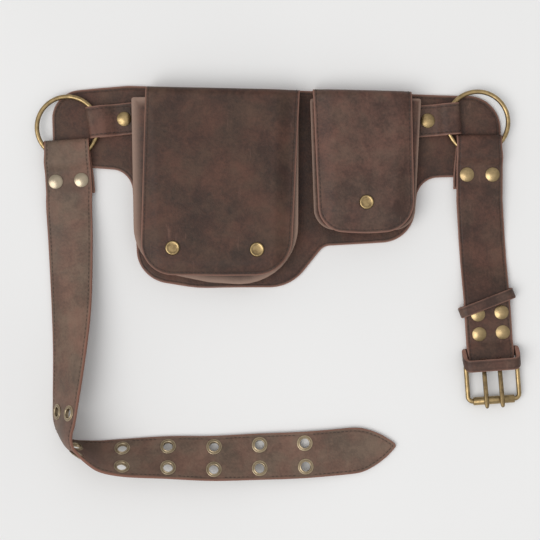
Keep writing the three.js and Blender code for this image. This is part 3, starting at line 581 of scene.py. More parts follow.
def plain_mesh(carrier, name):
    """The mesh that an object's modifiers make."""
    depsgraph = bpy.context.evaluated_depsgraph_get()
    mesh = bpy.data.meshes.new_from_object(carrier.evaluated_get(depsgraph))
    if not mesh.polygons:
        raise RuntimeError(f"{name} came out empty")
    mesh.name = name
    return mesh


def settle(piece, body, slot, *nodes):
    """Hides the parts that a piece stands for and attaches it to the body it moves with; the slot
    is not used.
    """
    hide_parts(*nodes)
    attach(piece, body)


def lofted(sections, loop):
    """Points and faces of a skin over sections, closed end to end or capped."""
    count = len(sections[0])
    polygons = []
    for i in range(len(sections) if loop else len(sections) - 1):
        a, b = i * count, (i + 1) % len(sections) * count
        polygons += [(a + j, b + j, b + (j + 1) % count, a + (j + 1) % count) for j in range(count)]
    if not loop:
        last = (len(sections) - 1) * count
        for j in range(count // 2 - 1):
            k = count - 1 - j
            polygons += [(j, j + 1, k - 1, k), (last + j, last + k, last + k - 1, last + j + 1)]
    return np.vstack(sections), polygons


def lathed(profile, sides=TURNED_SIDES):
    """Points and faces of a shape turned about z.

    The profile runs from the axis to the axis, or closes on itself.
    """
    points, rings, polygons = [], [], []
    turns = np.linspace(0, 2 * math.pi, sides, endpoint=False)
    for radius, height, *_ in profile:
        start = len(points)
        if radius < ON_AXIS:
            points.append((0, 0, height))
            rings.append([start] * sides)
        else:
            points += [(radius * math.cos(t), radius * math.sin(t), height) for t in turns]
            rings.append(list(range(start, start + sides)))
    pairs = list(zip(rings, rings[1:]))
    if profile[0][0] > ON_AXIS:
        pairs.append((rings[-1], rings[0]))
    for upper, lower in pairs:
        for j in range(sides):
            k = (j + 1) % sides
            corners = [upper[j], lower[j], lower[k], upper[k]]
            polygons.append(tuple(dict.fromkeys(corners)))
    return np.array(points, float), polygons


# Materials

class Wiring:
    """Adds nodes to a tree and joins their sockets."""

    MIX_A, MIX_B, MIX_RESULT = 6, 7, 2

    def __init__(self, tree):
        self.tree = tree

    def add(self, kind, inputs=None, **settings):
        node = self.tree.nodes.new(kind)
        for key, value in settings.items():
            setattr(node, key, value)
        for key, value in (inputs or {}).items():
            if isinstance(value, bpy.types.NodeSocket):
                self.tree.links.new(value, node.inputs[key])
            else:
                node.inputs[key].default_value = value
        return node

    def noise(self, coords, scale, detail=3.0, roughness=0.55, distortion=0.0):
        values = {
            "Vector": coords, "Scale": scale, "Detail": detail, "Roughness": roughness,
            "Distortion": distortion,
        }
        return self.add("ShaderNodeTexNoise", values).outputs["Fac"]

    def span(self, value, low, high, start=0.0, end=1.0):
        values = {"Value": value, "From Min": low, "From Max": high, "To Min": start, "To Max": end}
        node = self.add("ShaderNodeMapRange", values, interpolation_type="SMOOTHSTEP")
        return node.outputs["Result"]

    def math(self, operation, a, b=0.0):
        return self.add("ShaderNodeMath", {0: a, 1: b}, operation=operation).outputs[0]

    def total(self, *shares):
        """A sum of values, each times its share."""
        first, *others = [self.math("MULTIPLY", value, share) for value, share in shares]
        for other in others:
            first = self.math("ADD", first, other)
        return first

    def mix(self, factor, a, b, blend="MIX"):
        values = {0: factor, self.MIX_A: a, self.MIX_B: b}
        node = self.add("ShaderNodeMix", values, data_type="RGBA", blend_type=blend)
        return node.outputs[self.MIX_RESULT]


def shader_group(name, inputs, outputs):
    """A node group with its sockets, and the wiring to fill it."""
    tree = bpy.data.node_groups.new(name, "ShaderNodeTree")
    for label, kind, value in inputs:
        tree.interface.new_socket(label, in_out="INPUT", socket_type=kind).default_value = value
    for label, kind in outputs:
        tree.interface.new_socket(label, in_out="OUTPUT", socket_type=kind)
    return tree, Wiring(tree)


COLOUR, FLOAT = "NodeSocketColor", "NodeSocketFloat"
SURFACE_OUTPUTS = [("Color", COLOUR), ("Roughness", FLOAT), ("Height", FLOAT)]


def leather_group():
    """Waxed leather: clouded tone, grain, scuffs, a raw, lighter cut along every edge, and a pale
    band inside the edges that is rubbing, and painted light on the pouch fronts.
    """
    if "waxed_leather" in bpy.data.node_groups:
        return bpy.data.node_groups["waxed_leather"]
    tree, w = shader_group("waxed_leather", [
        ("Dark", COLOUR, (0.05, 0.03, 0.02, 1)), ("Light", COLOUR, (0.12, 0.08, 0.06, 1)),
        ("Cut Edge", COLOUR, (0.25, 0.14, 0.1, 1)), ("Grain Scale", FLOAT, 900.0),
        ("Scuffs", FLOAT, 0.3), ("Stitch Line", FLOAT, NO_STITCH_LINE),
        ("Wear And Light", FLOAT, EVEN_WEAR[0]), ("Wear Width", FLOAT, EVEN_WEAR[1]),
    ], SURFACE_OUTPUTS)
    given = w.add("NodeGroupInput").outputs
    coords = w.add("ShaderNodeTexCoord").outputs["Object"]
    edge = w.add("ShaderNodeAttribute", attribute_name="edge").outputs["Fac"]
    cloud = w.noise(coords, 24.0, 4.0)
    mottle = w.noise(coords, 75.0, 8.0, 0.66, 0.6)
    speck = w.noise(coords, 420.0, 3.0)
    tone = w.span(w.total((cloud, 0.46), (mottle, 0.34), (speck, 0.2)), 0.36, 0.65)
    colour = w.mix(tone, given["Dark"], given["Light"])
    warmth = w.span(w.noise(coords, 38.0, 4.0), 0.35, 0.65)
    colour = w.mix(1.0, colour, w.mix(warmth, REDDER, BROWNER), "MULTIPLY")
    stretched = w.add("ShaderNodeMapping", {
        "Vector": coords, "Rotation": (0, 0, 0.6), "Scale": (1, 0.16, 1),
    })
    scratch = w.noise(stretched.outputs[0], 210.0, 6.0, 0.6, 0.3)
    rubbed = w.span(w.noise(coords, 30.0, 2.0), 0.46, 0.62)
    scuff = w.math("MULTIPLY", w.span(scratch, 0.6, 0.72), rubbed)
    scuff = w.math("MULTIPLY", scuff, given["Scuffs"])
    colour = w.mix(scuff, colour, given["Cut Edge"])
    # Pale band inside the cut edge: rubbing, and on the pouch fronts painted light where the front
    # curves down towards the light
    near = w.math("SUBTRACT", 1.0, w.math("DIVIDE", edge, given["Wear Width"]))
    near = w.math("MULTIPLY", w.span(near, 0.0, 1.0), given["Wear And Light"])
    worn_and_lit = w.math("MULTIPLY", near, w.span(cloud, 0.12, 0.4))
    colour = w.mix(worn_and_lit, colour, given["Cut Edge"])
    fibre = w.mix(w.noise(coords, 700.0, 4.0), given["Light"], given["Cut Edge"])
    raw = w.span(edge, -0.9, -0.1, 1.0, 0.0)
    colour = w.mix(raw, colour, w.mix(0.72, fibre, given["Cut Edge"]))
    cells = w.add("ShaderNodeTexVoronoi", {
        "Vector": coords, "Scale": given["Grain Scale"],
    }, feature="SMOOTH_F1").outputs["Distance"]
    line = w.math("ABSOLUTE", w.math("SUBTRACT", edge, given["Stitch Line"]))
    groove = w.span(line, 0.1, 1.3, 1.0, 0.0)
    height = w.total((cells, 0.55), (speck, 0.5), (mottle, 0.7), (groove, -0.9))
    colour = w.mix(w.math("MULTIPLY", groove, 0.3), colour, given["Dark"])
    rough = w.total((w.span(tone, 0, 1, 0.44, 0.56), 1.0), (raw, 0.2), (cells, 0.08))
    w.add("NodeGroupOutput", {"Color": colour, "Roughness": rough, "Height": height})
    return tree


def brass_group():
    """Antique brass: bright where it is rubbed, brown in the hollows, finely pitted."""
    if "antique_brass" in bpy.data.node_groups:
        return bpy.data.node_groups["antique_brass"]
    tree, w = shader_group("antique_brass", [
        ("Bright", COLOUR, (0.5, 0.36, 0.15, 1)), ("Patina", COLOUR, (0.12, 0.08, 0.04, 1)),
        ("Tarnish", FLOAT, 0.5),
    ], SURFACE_OUTPUTS)
    given = w.add("NodeGroupInput").outputs
    coords = w.add("ShaderNodeTexCoord").outputs["Object"]
    rubbed = w.add("ShaderNodeAttribute", attribute_name="rubbed").outputs["Fac"]
    cloud = w.noise(coords, 170.0, 5.0, 0.6)
    pits = w.noise(coords, 1300.0, 3.0)
    aged = w.math("ADD", w.span(cloud, 0.38, 0.66, 0.0, 0.6), w.span(rubbed, 0.0, 1.0, 1.2, 0.0))
    aged = w.math("MULTIPLY", aged, given["Tarnish"])
    aged = w.math("ADD", aged, w.span(pits, 0.6, 0.75, 0.0, 0.35))
    aged = w.math("MINIMUM", aged, 1.0)
    colour = w.mix(aged, given["Bright"], given["Patina"])
    rough = w.span(aged, 0.0, 1.0, 0.3, 0.55)
    height = w.total((pits, 0.5), (cloud, 0.5))
    w.add("NodeGroupOutput", {"Color": colour, "Roughness": rough, "Height": height})
    return tree


def finish_material(name, group, values, bump, relief, metallic=0.0, specular=0.5):
    """A material that feeds a node group's colour, roughness and relief into one shader."""
    if name in bpy.data.materials:
        return bpy.data.materials[name]
    material = bpy.data.materials.new(name)
    material.use_nodes = True
    material.node_tree.nodes.clear()
    w = Wiring(material.node_tree)
    effect = w.add("ShaderNodeGroup", node_tree=group)
    for label, value in values.items():
        effect.inputs[label].default_value = value
    normal = w.add("ShaderNodeBump", {
        "Height": effect.outputs["Height"], "Strength": bump, "Distance": relief,
    }).outputs["Normal"]
    shader = w.add("ShaderNodeBsdfPrincipled", {
        "Base Color": effect.outputs["Color"], "Roughness": effect.outputs["Roughness"],
        "Normal": normal, "Metallic": metallic, "Specular IOR Level": specular,
    })
    w.add("ShaderNodeOutputMaterial", {"Surface": shader.outputs[0]})
    return material


def rgba(colour, gain=1.0):
    """A colour with its alpha, brightened by one gain or by one for each channel."""
    return (*np.minimum(1.0, np.multiply(colour, gain)), 1.0)


def leather(
    scene, name, colour, stitch_line=NO_STITCH_LINE, edge_gain=1.0, wear_and_light=EVEN_WEAR, calm=1.0,
):
    """A leather finish in one of the bag's colours, pale over a width along its edges: rubbing, and
    on the pouch fronts painted light.
    """
    look = scene.belt_bag_leather
    vary = look.mottling * calm
    values = {
        "Dark": rgba(colour, 1 - vary), "Light": rgba(colour, 1 + vary),
        "Cut Edge": rgba(look.cut_edge, edge_gain), "Grain Scale": 1 / look.grain,
        "Scuffs": look.scuffs, "Stitch Line": stitch_line, "Wear And Light": wear_and_light[0], "Wear Width": wear_and_light[1],
    }
    return finish_material(name, leather_group(), values, bump=0.5, relief=0.0005, specular=0.3)


def seam_inset(scene):
    """Distance of the stitches from the cut edge, in mm."""
    return scene.belt_bag_thread.inset / MM


def body_leather(scene):
    """The sewn brown leather of the panel and the buckle strap."""
    return leather(scene, "brown_leather_sewn", scene.belt_bag_leather.body, seam_inset(scene))


def trim_leather(scene, name, line):
    """The lighter leather of the tabs and keepers, with a line pressed along its edges."""
    return leather(scene, name, scene.belt_bag_leather.small_flap, line)


def brass(scene, kind):
    """Brass, more or less tarnished, and paler where it is thinly plated."""
    tarnish, pale = BRASS_WEAR[kind]
    look = scene.belt_bag_brass
    bright = [c + (max(look.bright) - c) * pale for c in look.bright]
    values = {"Bright": rgba(bright), "Patina": rgba(look.patina), "Tarnish": tarnish}
    name = f"{kind}_brass"
    return finish_material(name, brass_group(), values, bump=0.25, relief=0.0002, metallic=1.0)


def thread_material(scene):
    """Twisted waxed thread, with painted shade in the grooves of its twist."""
    if "thread_twist" in bpy.data.node_groups:
        return bpy.data.materials["waxed_thread"]
    inputs = [("Thread", COLOUR, (0.02, 0.015, 0.01, 1))]
    tree, w = shader_group("thread_twist", inputs, SURFACE_OUTPUTS)
    given = w.add("NodeGroupInput").outputs
    coords = w.add("ShaderNodeTexCoord").outputs["Object"]
    twist = w.add("ShaderNodeTexWave", {
        "Vector": coords, "Scale": 420.0, "Distortion": 1.5,
    }, bands_direction="DIAGONAL").outputs["Fac"]
    fuzz = w.noise(coords, 900.0, 3.0)
    # Painted shade: the twist's grooves are darkened towards near black
    shade = w.mix(w.span(twist, 0, 1, 0.0, 0.5), given["Thread"], (0.004, 0.003, 0.002, 1))
    w.add("NodeGroupOutput", {
        "Color": shade, "Roughness": w.span(fuzz, 0.3, 0.7, 0.5, 0.75),
        "Height": w.math("ADD", twist, fuzz),
    })
    values = {"Thread": rgba(scene.belt_bag_thread.colour)}
    return finish_material("waxed_thread", tree, values, bump=0.4, relief=0.0002)


# Geometry node trees

def node_tree(name, inputs):
    """A geometry node tree with its sockets, and the wiring to fill it."""
    tree = bpy.data.node_groups.new(name, "GeometryNodeTree")
    tree.interface.new_socket("Geometry", in_out="INPUT", socket_type="NodeSocketGeometry")
    for label, kind in inputs:
        tree.interface.new_socket(label, in_out="INPUT", socket_type=kind)
    tree.interface.new_socket("Geometry", in_out="OUTPUT", socket_type="NodeSocketGeometry")
    return tree, Wiring(tree)


def facing(w):
    """The turn of an instance: z along the point's up, x along its way."""
    kind = "GeometryNodeInputNamedAttribute"
    up, way = (
        w.add(kind, {"Name": label}, data_type="FLOAT_VECTOR").outputs["Attribute"]
        for label in ("up", "way")
    )
    turn = w.add(
        "FunctionNodeAxesToRotation", {0: up, 1: way}, primary_axis="Z", secondary_axis="X",
    )
    return turn.outputs[0]


def placed_at_points(w, given, instance, scale):
    """The tree's end: instances on the points, made real, with their material."""
    spread = w.add("GeometryNodeInstanceOnPoints", {
        "Points": given["Geometry"], "Instance": instance, "Rotation": facing(w), "Scale": scale,
    })
    real = w.add("GeometryNodeRealizeInstances", {"Geometry": spread.outputs[0]})
    done = w.add("GeometryNodeSetMaterial", {
        "Geometry": real.outputs[0], "Material": given["Material"],
    })
    w.add("NodeGroupOutput", {"Geometry": done.outputs[0]})


def stitch_tree():
    """Short rounded stitches, one at each point."""
    tree, w = node_tree("stitches", [
        ("Stitch Length", "NodeSocketFloat"), ("Thread Width", "NodeSocketFloat"),
        ("Thread Height", "NodeSocketFloat"), ("Material", "NodeSocketMaterial"),
    ])
    given = w.add("NodeGroupInput").outputs
    bead = w.add("GeometryNodeMeshUVSphere", {"Segments": 6, "Rings": 5, "Radius": 0.5})
    smooth = w.add("GeometryNodeSetShadeSmooth", {"Geometry": bead.outputs["Mesh"]})
    scale = w.add("ShaderNodeCombineXYZ", {
        0: given["Stitch Length"], 1: given["Thread Width"], 2: given["Thread Height"],
    })
    placed_at_points(w, given, smooth.outputs[0], scale.outputs[0])
    return tree


def fitting_tree():
    """One metal fitting at each point, as tall and wide as its pattern times a scale."""
    tree, w = node_tree("fittings", [
        ("Fitting", "NodeSocketObject"), ("Scale", "NodeSocketFloat"),
        ("Material", "NodeSocketMaterial"),
    ])
    given = w.add("NodeGroupInput").outputs
    pattern = w.add(
        "GeometryNodeObjectInfo", {"Object": given["Fitting"]}, transform_space="ORIGINAL",
    )
    placed_at_points(w, given, pattern.outputs["Geometry"], given["Scale"])
    return tree


def grown(name, tree, places, values):
    """Runs a tree on points (place, up, way) and keeps the result as a plain mesh."""
    seeds = bpy.data.meshes.new(name + "_points")
    seeds.from_pydata([tuple((np.array(p) - CENTRE) * MM) for p, _, _ in places], [], [])
    for label, k in (("up", 1), ("way", 2)):
        vectors = np.array([place[k] for place in places], np.float32)
        attribute = seeds.attributes.new(label, "FLOAT_VECTOR", "POINT")
        attribute.data.foreach_set("vector", vectors.ravel())
    carrier = linked(name + "_points", seeds)
    modifier = carrier.modifiers.new("grow", "NODES")
    modifier.node_group = tree
    sockets = {s.name: s.identifier for s in tree.interface.items_tree if s.in_out == "INPUT"}
    for label, value in values.items():
        modifier[sockets[label]] = value
    mesh = plain_mesh(carrier, name)
    bpy.data.objects.remove(carrier)
    return linked(name, mesh)


def fittings(scene, name, profile, places, sides=TURNED_SIDES):
    """Like turned fittings at several places, as one piece."""
    points, polygons = lathed(profile, sides)
    rubbed = np.concatenate([[rub] * (sides if radius > 0 else 1) for radius, _, rub in profile])
    material = brass(scene, name)
    points = points + CENTRE
    pattern = make_piece(f"{name}_pattern", points, polygons, material, "rubbed", rubbed)
    tree = bpy.data.node_groups.get("fittings") or fitting_tree()
    piece = grown(name, tree, places, {"Fitting": pattern, "Scale": 1.0, "Material": material})
    bpy.data.objects.remove(pattern)
    return piece


# Shapes of the pieces

def pouch_side(side, low, high, y):
    """Where a pouch's slanting side is at a given y."""
    return side[1] + (side[0] - side[1]) * (y - low) / (high - low)


def front_height(pouch, x, y):
    """Height of the pouch front's middle surface."""
    low, high = pouch["bottom"], pouch["top"]
    left, right = (pouch_side(pouch[side], low, high, y) for side in ("left", "right"))
    gaps = np.clip(np.stack([x - left, right - x, y - low]), *DOME_LIMITS)
    inner = -DOME_SOFTNESS * np.log(np.exp(-gaps / DOME_SOFTNESS).sum(0))
    seam = PANEL_THICKNESS + GAP + pouch["depth"] + GAP + POUCH_THICKNESS / 2
    return seam + pouch["dome"] * smoothstep(inner, SEAM_WIDTH, SEAM_WIDTH + DOME_RAMP)


def flap_height(pouch, x, y):
    """Height of the flap's middle surface where it lies over the front."""
    return front_height(pouch, x, y) + POUCH_THICKNESS + FLAP_CLEARANCE


def front_surface(pouch):
    """The pouch front over x and y."""
    def surface(points):
        x, y = points.T
        return np.column_stack([x, y, front_height(pouch, x, y)])
    return surface


def front_loop(pouch):
    """The pouch front's cut."""
    corners = [
        (pouch["left"][0], pouch["top"], FRONT_CORNER), *pouch["lower_edge"],
        (pouch["right"][0], pouch["top"], FRONT_CORNER),
    ]
    return spaced(rounded_path(corners, True), CUT_STEP, True)


def fold_line(pouch, x):
    """Where the flap folds over, in y, at a given x."""
    centre = (pouch["flap_left"] + pouch["flap_right"]) / 2
    return pouch["fold"] - POUCH_THICKNESS / 2 + pouch["slope"] * (x - centre)


def flap_surface(pouch):
    """The flap laid out flat: past the shoulder, y goes on over the fold and down the back."""
    top, foot = FLAP_TOP_BEND, FLAP_FOOT_BEND

    def surface(points):
        x, y = points.T
        base = fold_line(pouch, x) - FLAP_SHOULDER
        high = flap_height(pouch, x, base)
        past = y - base
        bend = past - (FLAP_SHOULDER - top)
        turn = np.clip(bend / top, 0, math.pi / 2)
        drop = bend - top * math.pi / 2
        fall = high - top - POUCH_FOOT - foot
        curl = np.clip((drop - fall) / foot, 0, math.pi / 2)
        leg = np.clip(drop - fall - foot * math.pi / 2, 0, FLAP_LEG)
        back_y = base + np.minimum(past, FLAP_SHOULDER - top) + top * np.sin(turn)
        back_y = back_y - foot * (1 - np.cos(curl)) - leg
        back_z = high - top * (1 - np.cos(turn)) - np.clip(drop, 0, fall) - foot * np.sin(curl)
        over = past > 0
        wave = ripple(x, y, *FLAP_RIPPLE, pouch["phase"])
        wave = wave * smoothstep(-past, 0, FLAP_RIPPLE_START)
        height = np.where(over, back_z, flap_height(pouch, x, y) + wave)
        return np.column_stack([x, np.where(over, back_y, y), height])
    return surface


def flap_loop(pouch):
    """The flap's cut, on the flat layout of its surface."""
    sides = []
    for side in ("flap_left", "flap_right"):
        x = pouch[side]
        base = fold_line(pouch, np.array([x]))[0] - FLAP_SHOULDER
        high = flap_height(pouch, np.array([x]), np.array([base]))[0]
        fall = high - POUCH_FOOT - FLAP_TOP_BEND - FLAP_FOOT_BEND
        bends = (FLAP_TOP_BEND + FLAP_FOOT_BEND) * math.pi / 2
        reach = base + FLAP_SHOULDER - FLAP_TOP_BEND + bends + fall + FLAP_LEG - FLAP_FOOT_BEND
        sides.append((x, reach))
    (left, left_reach), (right, right_reach) = sides
    corners = [
        *pouch["flap_edge"], (right, pouch["fold"]), (right, right_reach, FLAP_CORNER),
        (left, left_reach, FLAP_CORNER), (left, pouch["fold"]),
    ]
    return spaced(rounded_path(corners, True), CUT_STEP, True)


def gusset_sheet(pouch):
    """The gusset laid out flat: along the rim, and from its foot up its wall to its flange."""
    corners = [
        (pouch["left"][0], pouch["top"]), *pouch["lower_edge"], (pouch["right"][0], pouch["top"]),
    ]
    rim = spaced(rounded_path(corners, False, FINE_QUARTER), RIM_STEP)
    along = lengths_along(rim)
    ahead = unit(np.gradient(rim, along, axis=0))
    low, high = POUCH_FOOT, POUCH_FOOT + pouch["depth"] - POUCH_THICKNESS
    bow, bow_bend = GUSSET_BOW
    profile = spaced(rounded_path([
        (GUSSET_FOOT, low), (GUSSET_INSET, low, GUSSET_BEND),
        (GUSSET_INSET + bow, (low + high) / 2, bow_bend), (GUSSET_INSET, high, GUSSET_BEND),
        (GUSSET_FLANGE, high),
    ]), WALL_STEP)
    up = lengths_along(profile)

    def surface(points):
        s, q = points.T
        x, y = along_path(s, along, rim)
        way = unit(np.column_stack(along_path(s, along, ahead)))
        inset, height = along_path(q, up, profile)
        return np.column_stack([x - way[:, 1] * inset, y + way[:, 0] * inset, height])

    return [strip_loop(along[-1], even(0), even(up[-1]))], surface


def even(reach):
    """A reach that stays the same along a strip."""
    def same(s):
        return np.full_like(s, reach)
    return same


def strip_loop(length, below, above):
    """The outline of a strip, from how far it reaches below and above its middle line."""
    s = np.linspace(0, length, max(3, round(length / STRIP_STEP)) + 1)
    edges = np.vstack([np.column_stack([s, -below(s)]), np.column_stack([s, above(s)])[::-1]])
    return spaced(edges, STRIP_STEP, True)


def tab_sheet(tab, slant):
    """A tab laid out flat, folded over its ring and shorter on one side by a slant."""
    x, y, angle, length = tab
    low = PANEL_THICKNESS + GAP + TAB_THICKNESS / 2
    over, closed = low + 2 * FOLD_RADIUS, low + TAB_THICKNESS + GAP
    end = length - TAB_THICKNESS / 2
    path = spaced(rounded_path([
        (0, low), (end, low, FOLD_RADIUS), (end, over, FOLD_RADIUS),
        (length - TAB_DROP_START, over, TAB_DROP_BEND),
        (TAB_RIVET_FROM_END + TAB_DROP_BEFORE_RIVET, closed, TAB_DROP_BEND), (0, closed),
    ]), TAB_STEP)
    along = lengths_along(path)
    place = turned_place(x, y, angle)

    def surface(points):
        s, across = points.T
        out, height = along_path(s, along, path)
        out = out * (1 - slant / length * across / TAB_WIDTH)
        return moved(place, np.column_stack([out, across, height]))

    holes = [rivet_hole(TAB_RIVET_FROM_END, 0), rivet_hole(along[-1] - TAB_RIVET_FROM_END, 0)]
    half = even(TAB_WIDTH / 2)
    return [strip_loop(along[-1], half, half), *holes], surface


def under_slant(along, path, size):
    """How far the hidden end of a folded strap lies out of line, to show beside the strap."""
    first_half = along <= along[-1] / 2
    fold = along[np.argmin(path[first_half, 0])]

    def slant(s):
        return size * smoothstep(fold - s, *UNDER_SLANT_EASE)
    return slant


def folded_half(from_fold):
    """Half a strap's width, drawn in where it is folded round metal."""
    widening = STRAP_WIDTH / 2 - LOOP_FOLD_HALF
    return LOOP_FOLD_HALF + widening * smoothstep(from_fold, *LOOP_FOLD_EASE)


def smooth_rows(keys):
    """A smooth strap through key rows of near edge, middle and far edge."""
    keys = np.array(keys)
    ends = [2 * keys[0] - keys[1], *keys, 2 * keys[-1] - keys[-2]]
    rows = []
    for p0, p1, p2, p3 in zip(ends, ends[1:], ends[2:], ends[3:]):
        d0, d1, d2 = (
            np.linalg.norm(b - a, axis=1, keepdims=True) ** 0.5
            for a, b in ((p0, p1), (p1, p2), (p2, p3))
        )
        t1 = ((p1 - p0) / d0 - (p2 - p0) / (d0 + d1) + (p2 - p1) / d1) * d1
        t2 = ((p2 - p1) / d1 - (p3 - p1) / (d1 + d2) + (p3 - p2) / d2) * d1
        length = max(STRAP_ROW_STEP, np.linalg.norm(p2[1] - p1[1]))
        for t in np.arange(0, 1, STRAP_ROW_STEP / length):
            rows.append(
                (2 * t**3 - 3 * t**2 + 1) * p1 + (t**3 - 2 * t**2 + t) * t1
                + (3 * t**2 - 2 * t**3) * p2 + (t**3 - t**2) * t2
            )
    return [*rows, keys[-1]]


def punched_strap():
    """The punched strap laid out flat: its surface, its rows' lengths along it, its loop's path."""
    low = PANEL_THICKNESS + GAP + STRAP_THICKNESS / 2
    over, closed = low + 2 * FOLD_RADIUS, low + STRAP_THICKNESS + GAP
    end = STRAP_THICKNESS / 2
    path = spaced(rounded_path([
        (UNDER_LAP, low - UNDER_SAG), (LOOP_DROP[1], low, UNDER_BEND), (end, low, FOLD_RADIUS),
        (end, over, FOLD_RADIUS), (LOOP_DROP[0], over, LOOP_DROP_BEND),
        (LOOP_DROP[1], closed, LOOP_DROP_BEND), (LOOP_LAP, closed),
    ]), LOOP_STEP)
    place = turned_place(LEFT_LOOP["x"], LEFT_LOOP["y"], LEFT_LOOP["angle"])
    sides = np.array([-0.5, 0, 0.5]) * STRAP_WIDTH
    lengths = lengths_along(path)
    slant = under_slant(lengths, path, UNDER_SLANT["left"])(lengths)
    loop = [
        moved(place, np.column_stack([sides + out, np.full(3, -d), np.full(3, z)]))
        for (d, z), out in zip(path, slant)
    ]
    near, across = [], []
    for x, y, heading, tilt, lift, _ in LEFT_ROWS:
        h, t = math.radians(heading), math.radians(tilt)
        across.append(np.array([math.cos(h) * math.cos(t), math.sin(h) * math.cos(t), math.sin(t)]))
        near.append(np.array([x, y, lift + end * math.cos(t)]))
    keys = [loop[-LOOP_LEAD], loop[-1]]
    for i, (*_, bulge) in enumerate(LEFT_ROWS):
        chord = STRAP_WIDTH - (8 / 3) * bulge**2 / STRAP_WIDTH
        ahead = near[min(i + 1, len(near) - 1)] - near[max(i - 1, 0)]
        far = near[i] + across[i] * chord
        middle = (near[i] + far) / 2 + unit(np.cross(ahead, across[i])) * bulge
        keys.append([near[i], middle, far])
    tip = np.array([*STRAP_TIP, end + GAP])
    last = np.array(keys[-1])
    side = unit(last[2] - last[0]) * STRAP_WIDTH / 2
    for part in (0.5, 1.0):
        middle = last[1] + (tip - last[1]) * part
        keys.append([middle - side, middle, middle + side])
    body = smooth_rows(keys)
    first = next(i for i, row in enumerate(body) if np.allclose(row, loop[-1]))
    rows = np.array([*loop, *body[first + 1:]])
    along = lengths_along(rows[:, 1])

    def surface(points):
        s, across_strap = points.T
        w = (across_strap / STRAP_WIDTH + 0.5)[:, None]
        near, middle, far = (
            np.column_stack(along_path(s, along, rows[:, k])) for k in range(3)
        )
        return near * (1 - w) * (1 - 2 * w) + middle * 4 * w * (1 - w) + far * w * (2 * w - 1)

    return surface, along, path


def punched_halves(along, path):
    """Half the strap's width on each side: drawn in outside the ring, pointed at the tip."""
    total = along[-1]
    from_fold = np.concatenate([path[:, 0], np.full(len(along) - len(path), LOOP_LAP)])

    def inner(s):
        back = np.clip(total - s, 0, None)
        return np.interp(back, TIP_BACK, TIP_WIDTH) / 2

    def outer(s):
        return np.minimum(folded_half(np.interp(s, along, from_fold)), inner(s))
    return outer, inner


def punched_eyelets(along):
    """Places of the eyelets on the strap's flat layout, pair by pair towards the tip."""
    last = along[-1] - FIRST_EYELET_FROM_TIP
    pairs = [last - EYELET_PITCH * back for back in reversed(range(EYELET_PAIRS))]
    return [(s, side * EYELET_SPREAD) for s in pairs for side in (-1, 1)]


def buckle_strap_place(along):
    """Centre and turn of the buckle strap at a distance from its fold at the ring."""
    slant = math.radians(BUCKLE_TURN)
    before, past = np.minimum(along, BEND_DISTANCE), np.maximum(along - BEND_DISTANCE, 0)
    x = RIGHT_LOOP["x"] + past * math.sin(slant)
    y = RIGHT_LOOP["y"] - before - past * math.cos(slant)
    return x, y, slant * smoothstep(along, BEND_DISTANCE - BEND_EASE, BEND_DISTANCE + BEND_EASE)


def buckle_strap():
    """The buckle strap laid out flat: its surface, lengths and path."""
    path = spaced(rounded_path(RIGHT_PROFILE), LOOP_STEP)
    along = lengths_along(path)
    slant = under_slant(along, path, UNDER_SLANT["right"])

    def surface(points):
        s, across = points.T
        out, height = along_path(s, along, path)
        x, y, turn = buckle_strap_place(out)
        across = across + slant(s)
        return np.column_stack([x + across * np.cos(turn), y + across * np.sin(turn), height])

    return surface, along, path


def passes(along, path, distance):
    """Every length along a folded path at which it is at a given distance."""
    over = path[:, 0] - distance
    at = np.nonzero(over[:-1] * over[1:] <= 0)[0]
    return [along[i] + (along[i + 1] - along[i]) * over[i] / (over[i] - over[i + 1]) for i in at]


def buckle_place():
    """The buckle's frame of reference, at the middle of its bar."""
    x, y, _ = buckle_strap_place(np.array(BAR_DISTANCE))
    return turned_place(float(x), float(y), BUCKLE_TURN)


def keeper_loop(name, keeper, place, material):
    """A leather band closed into a loop.

    It leans along -y and widens with height, and its side walls are thicker.
    """
    half, low, high, lean = keeper["half"], keeper["low"], keeper["high"], keeper["lean"]
    t = KEEPER_THICKNESS / 2
    lower, upper = KEEPER_CORNERS
    corners = [
        (-half + t, low + t, lower), (half - t, low + t, lower),
        (half - t, high - t, upper), (-half + t, high - t, upper),
    ]
    path = spaced(rounded_path(corners, True), KEEPER_STEP, True)
    out = headings(path)
    out = np.column_stack([out[:, 1], -out[:, 0]])
    band, r = keeper["band"] / 2, KEEPER_ROUNDING
    ring = [(band - r + r * math.cos(a), t - r + r * math.sin(a)) for a in KEEPER_TURNS]
    face = [(part * (band - r), t) for part in (0.5, 0, -0.5)]
    outside = ring + face + [(-y, z) for y, z in reversed(ring)]
    section = outside + [(y, -z) for y, z in reversed(outside)]
    sections = []
    for p, n in zip(path, out):
        crown = ripple(p[0], p[1], *KEEPER_RIPPLE)
        wall = keeper["wall"] * abs(n[0])
        flat = [p + n * (z + crown - wall * (z < 0)) for _, z in section]
        rise = max(p[1] - low, 0)
        wide = 1 + keeper["flare"] / keeper["band"] * rise / (high - low)
        sections.append([(q[0], y * wide - lean * rise, q[1]) for q, (y, _) in zip(flat, section)])
    points, polygons = lofted([np.array(s) for s in sections], True)
    face = t - KEEPER_FACE_DEPTH
    edges = [band - abs(y) if abs(z) > face else -1.0 for y, z in section] * len(path)
    return make_piece(name, moved(place, points), polygons, material, "edge", edges)


def wire_loop(name, path, height, place, material):
    """Round wire along a closed path."""
    turns = np.linspace(0, 2 * math.pi, WIRE_SIDES, endpoint=False)
    reach, rise = WIRE_RADIUS * np.cos(turns), height + WIRE_RADIUS * np.sin(turns)
    sections = []
    for p, way in zip(path, headings(path)):
        sections.append(np.column_stack([p[0] + way[1] * reach, p[1] - way[0] * reach, rise]))
    points, polygons = lofted(sections, True)
    rubbed = np.tile(0.5 + 0.5 * np.sin(turns), len(path))
    return make_piece(name, moved(place, points), polygons, material, "rubbed", rubbed)


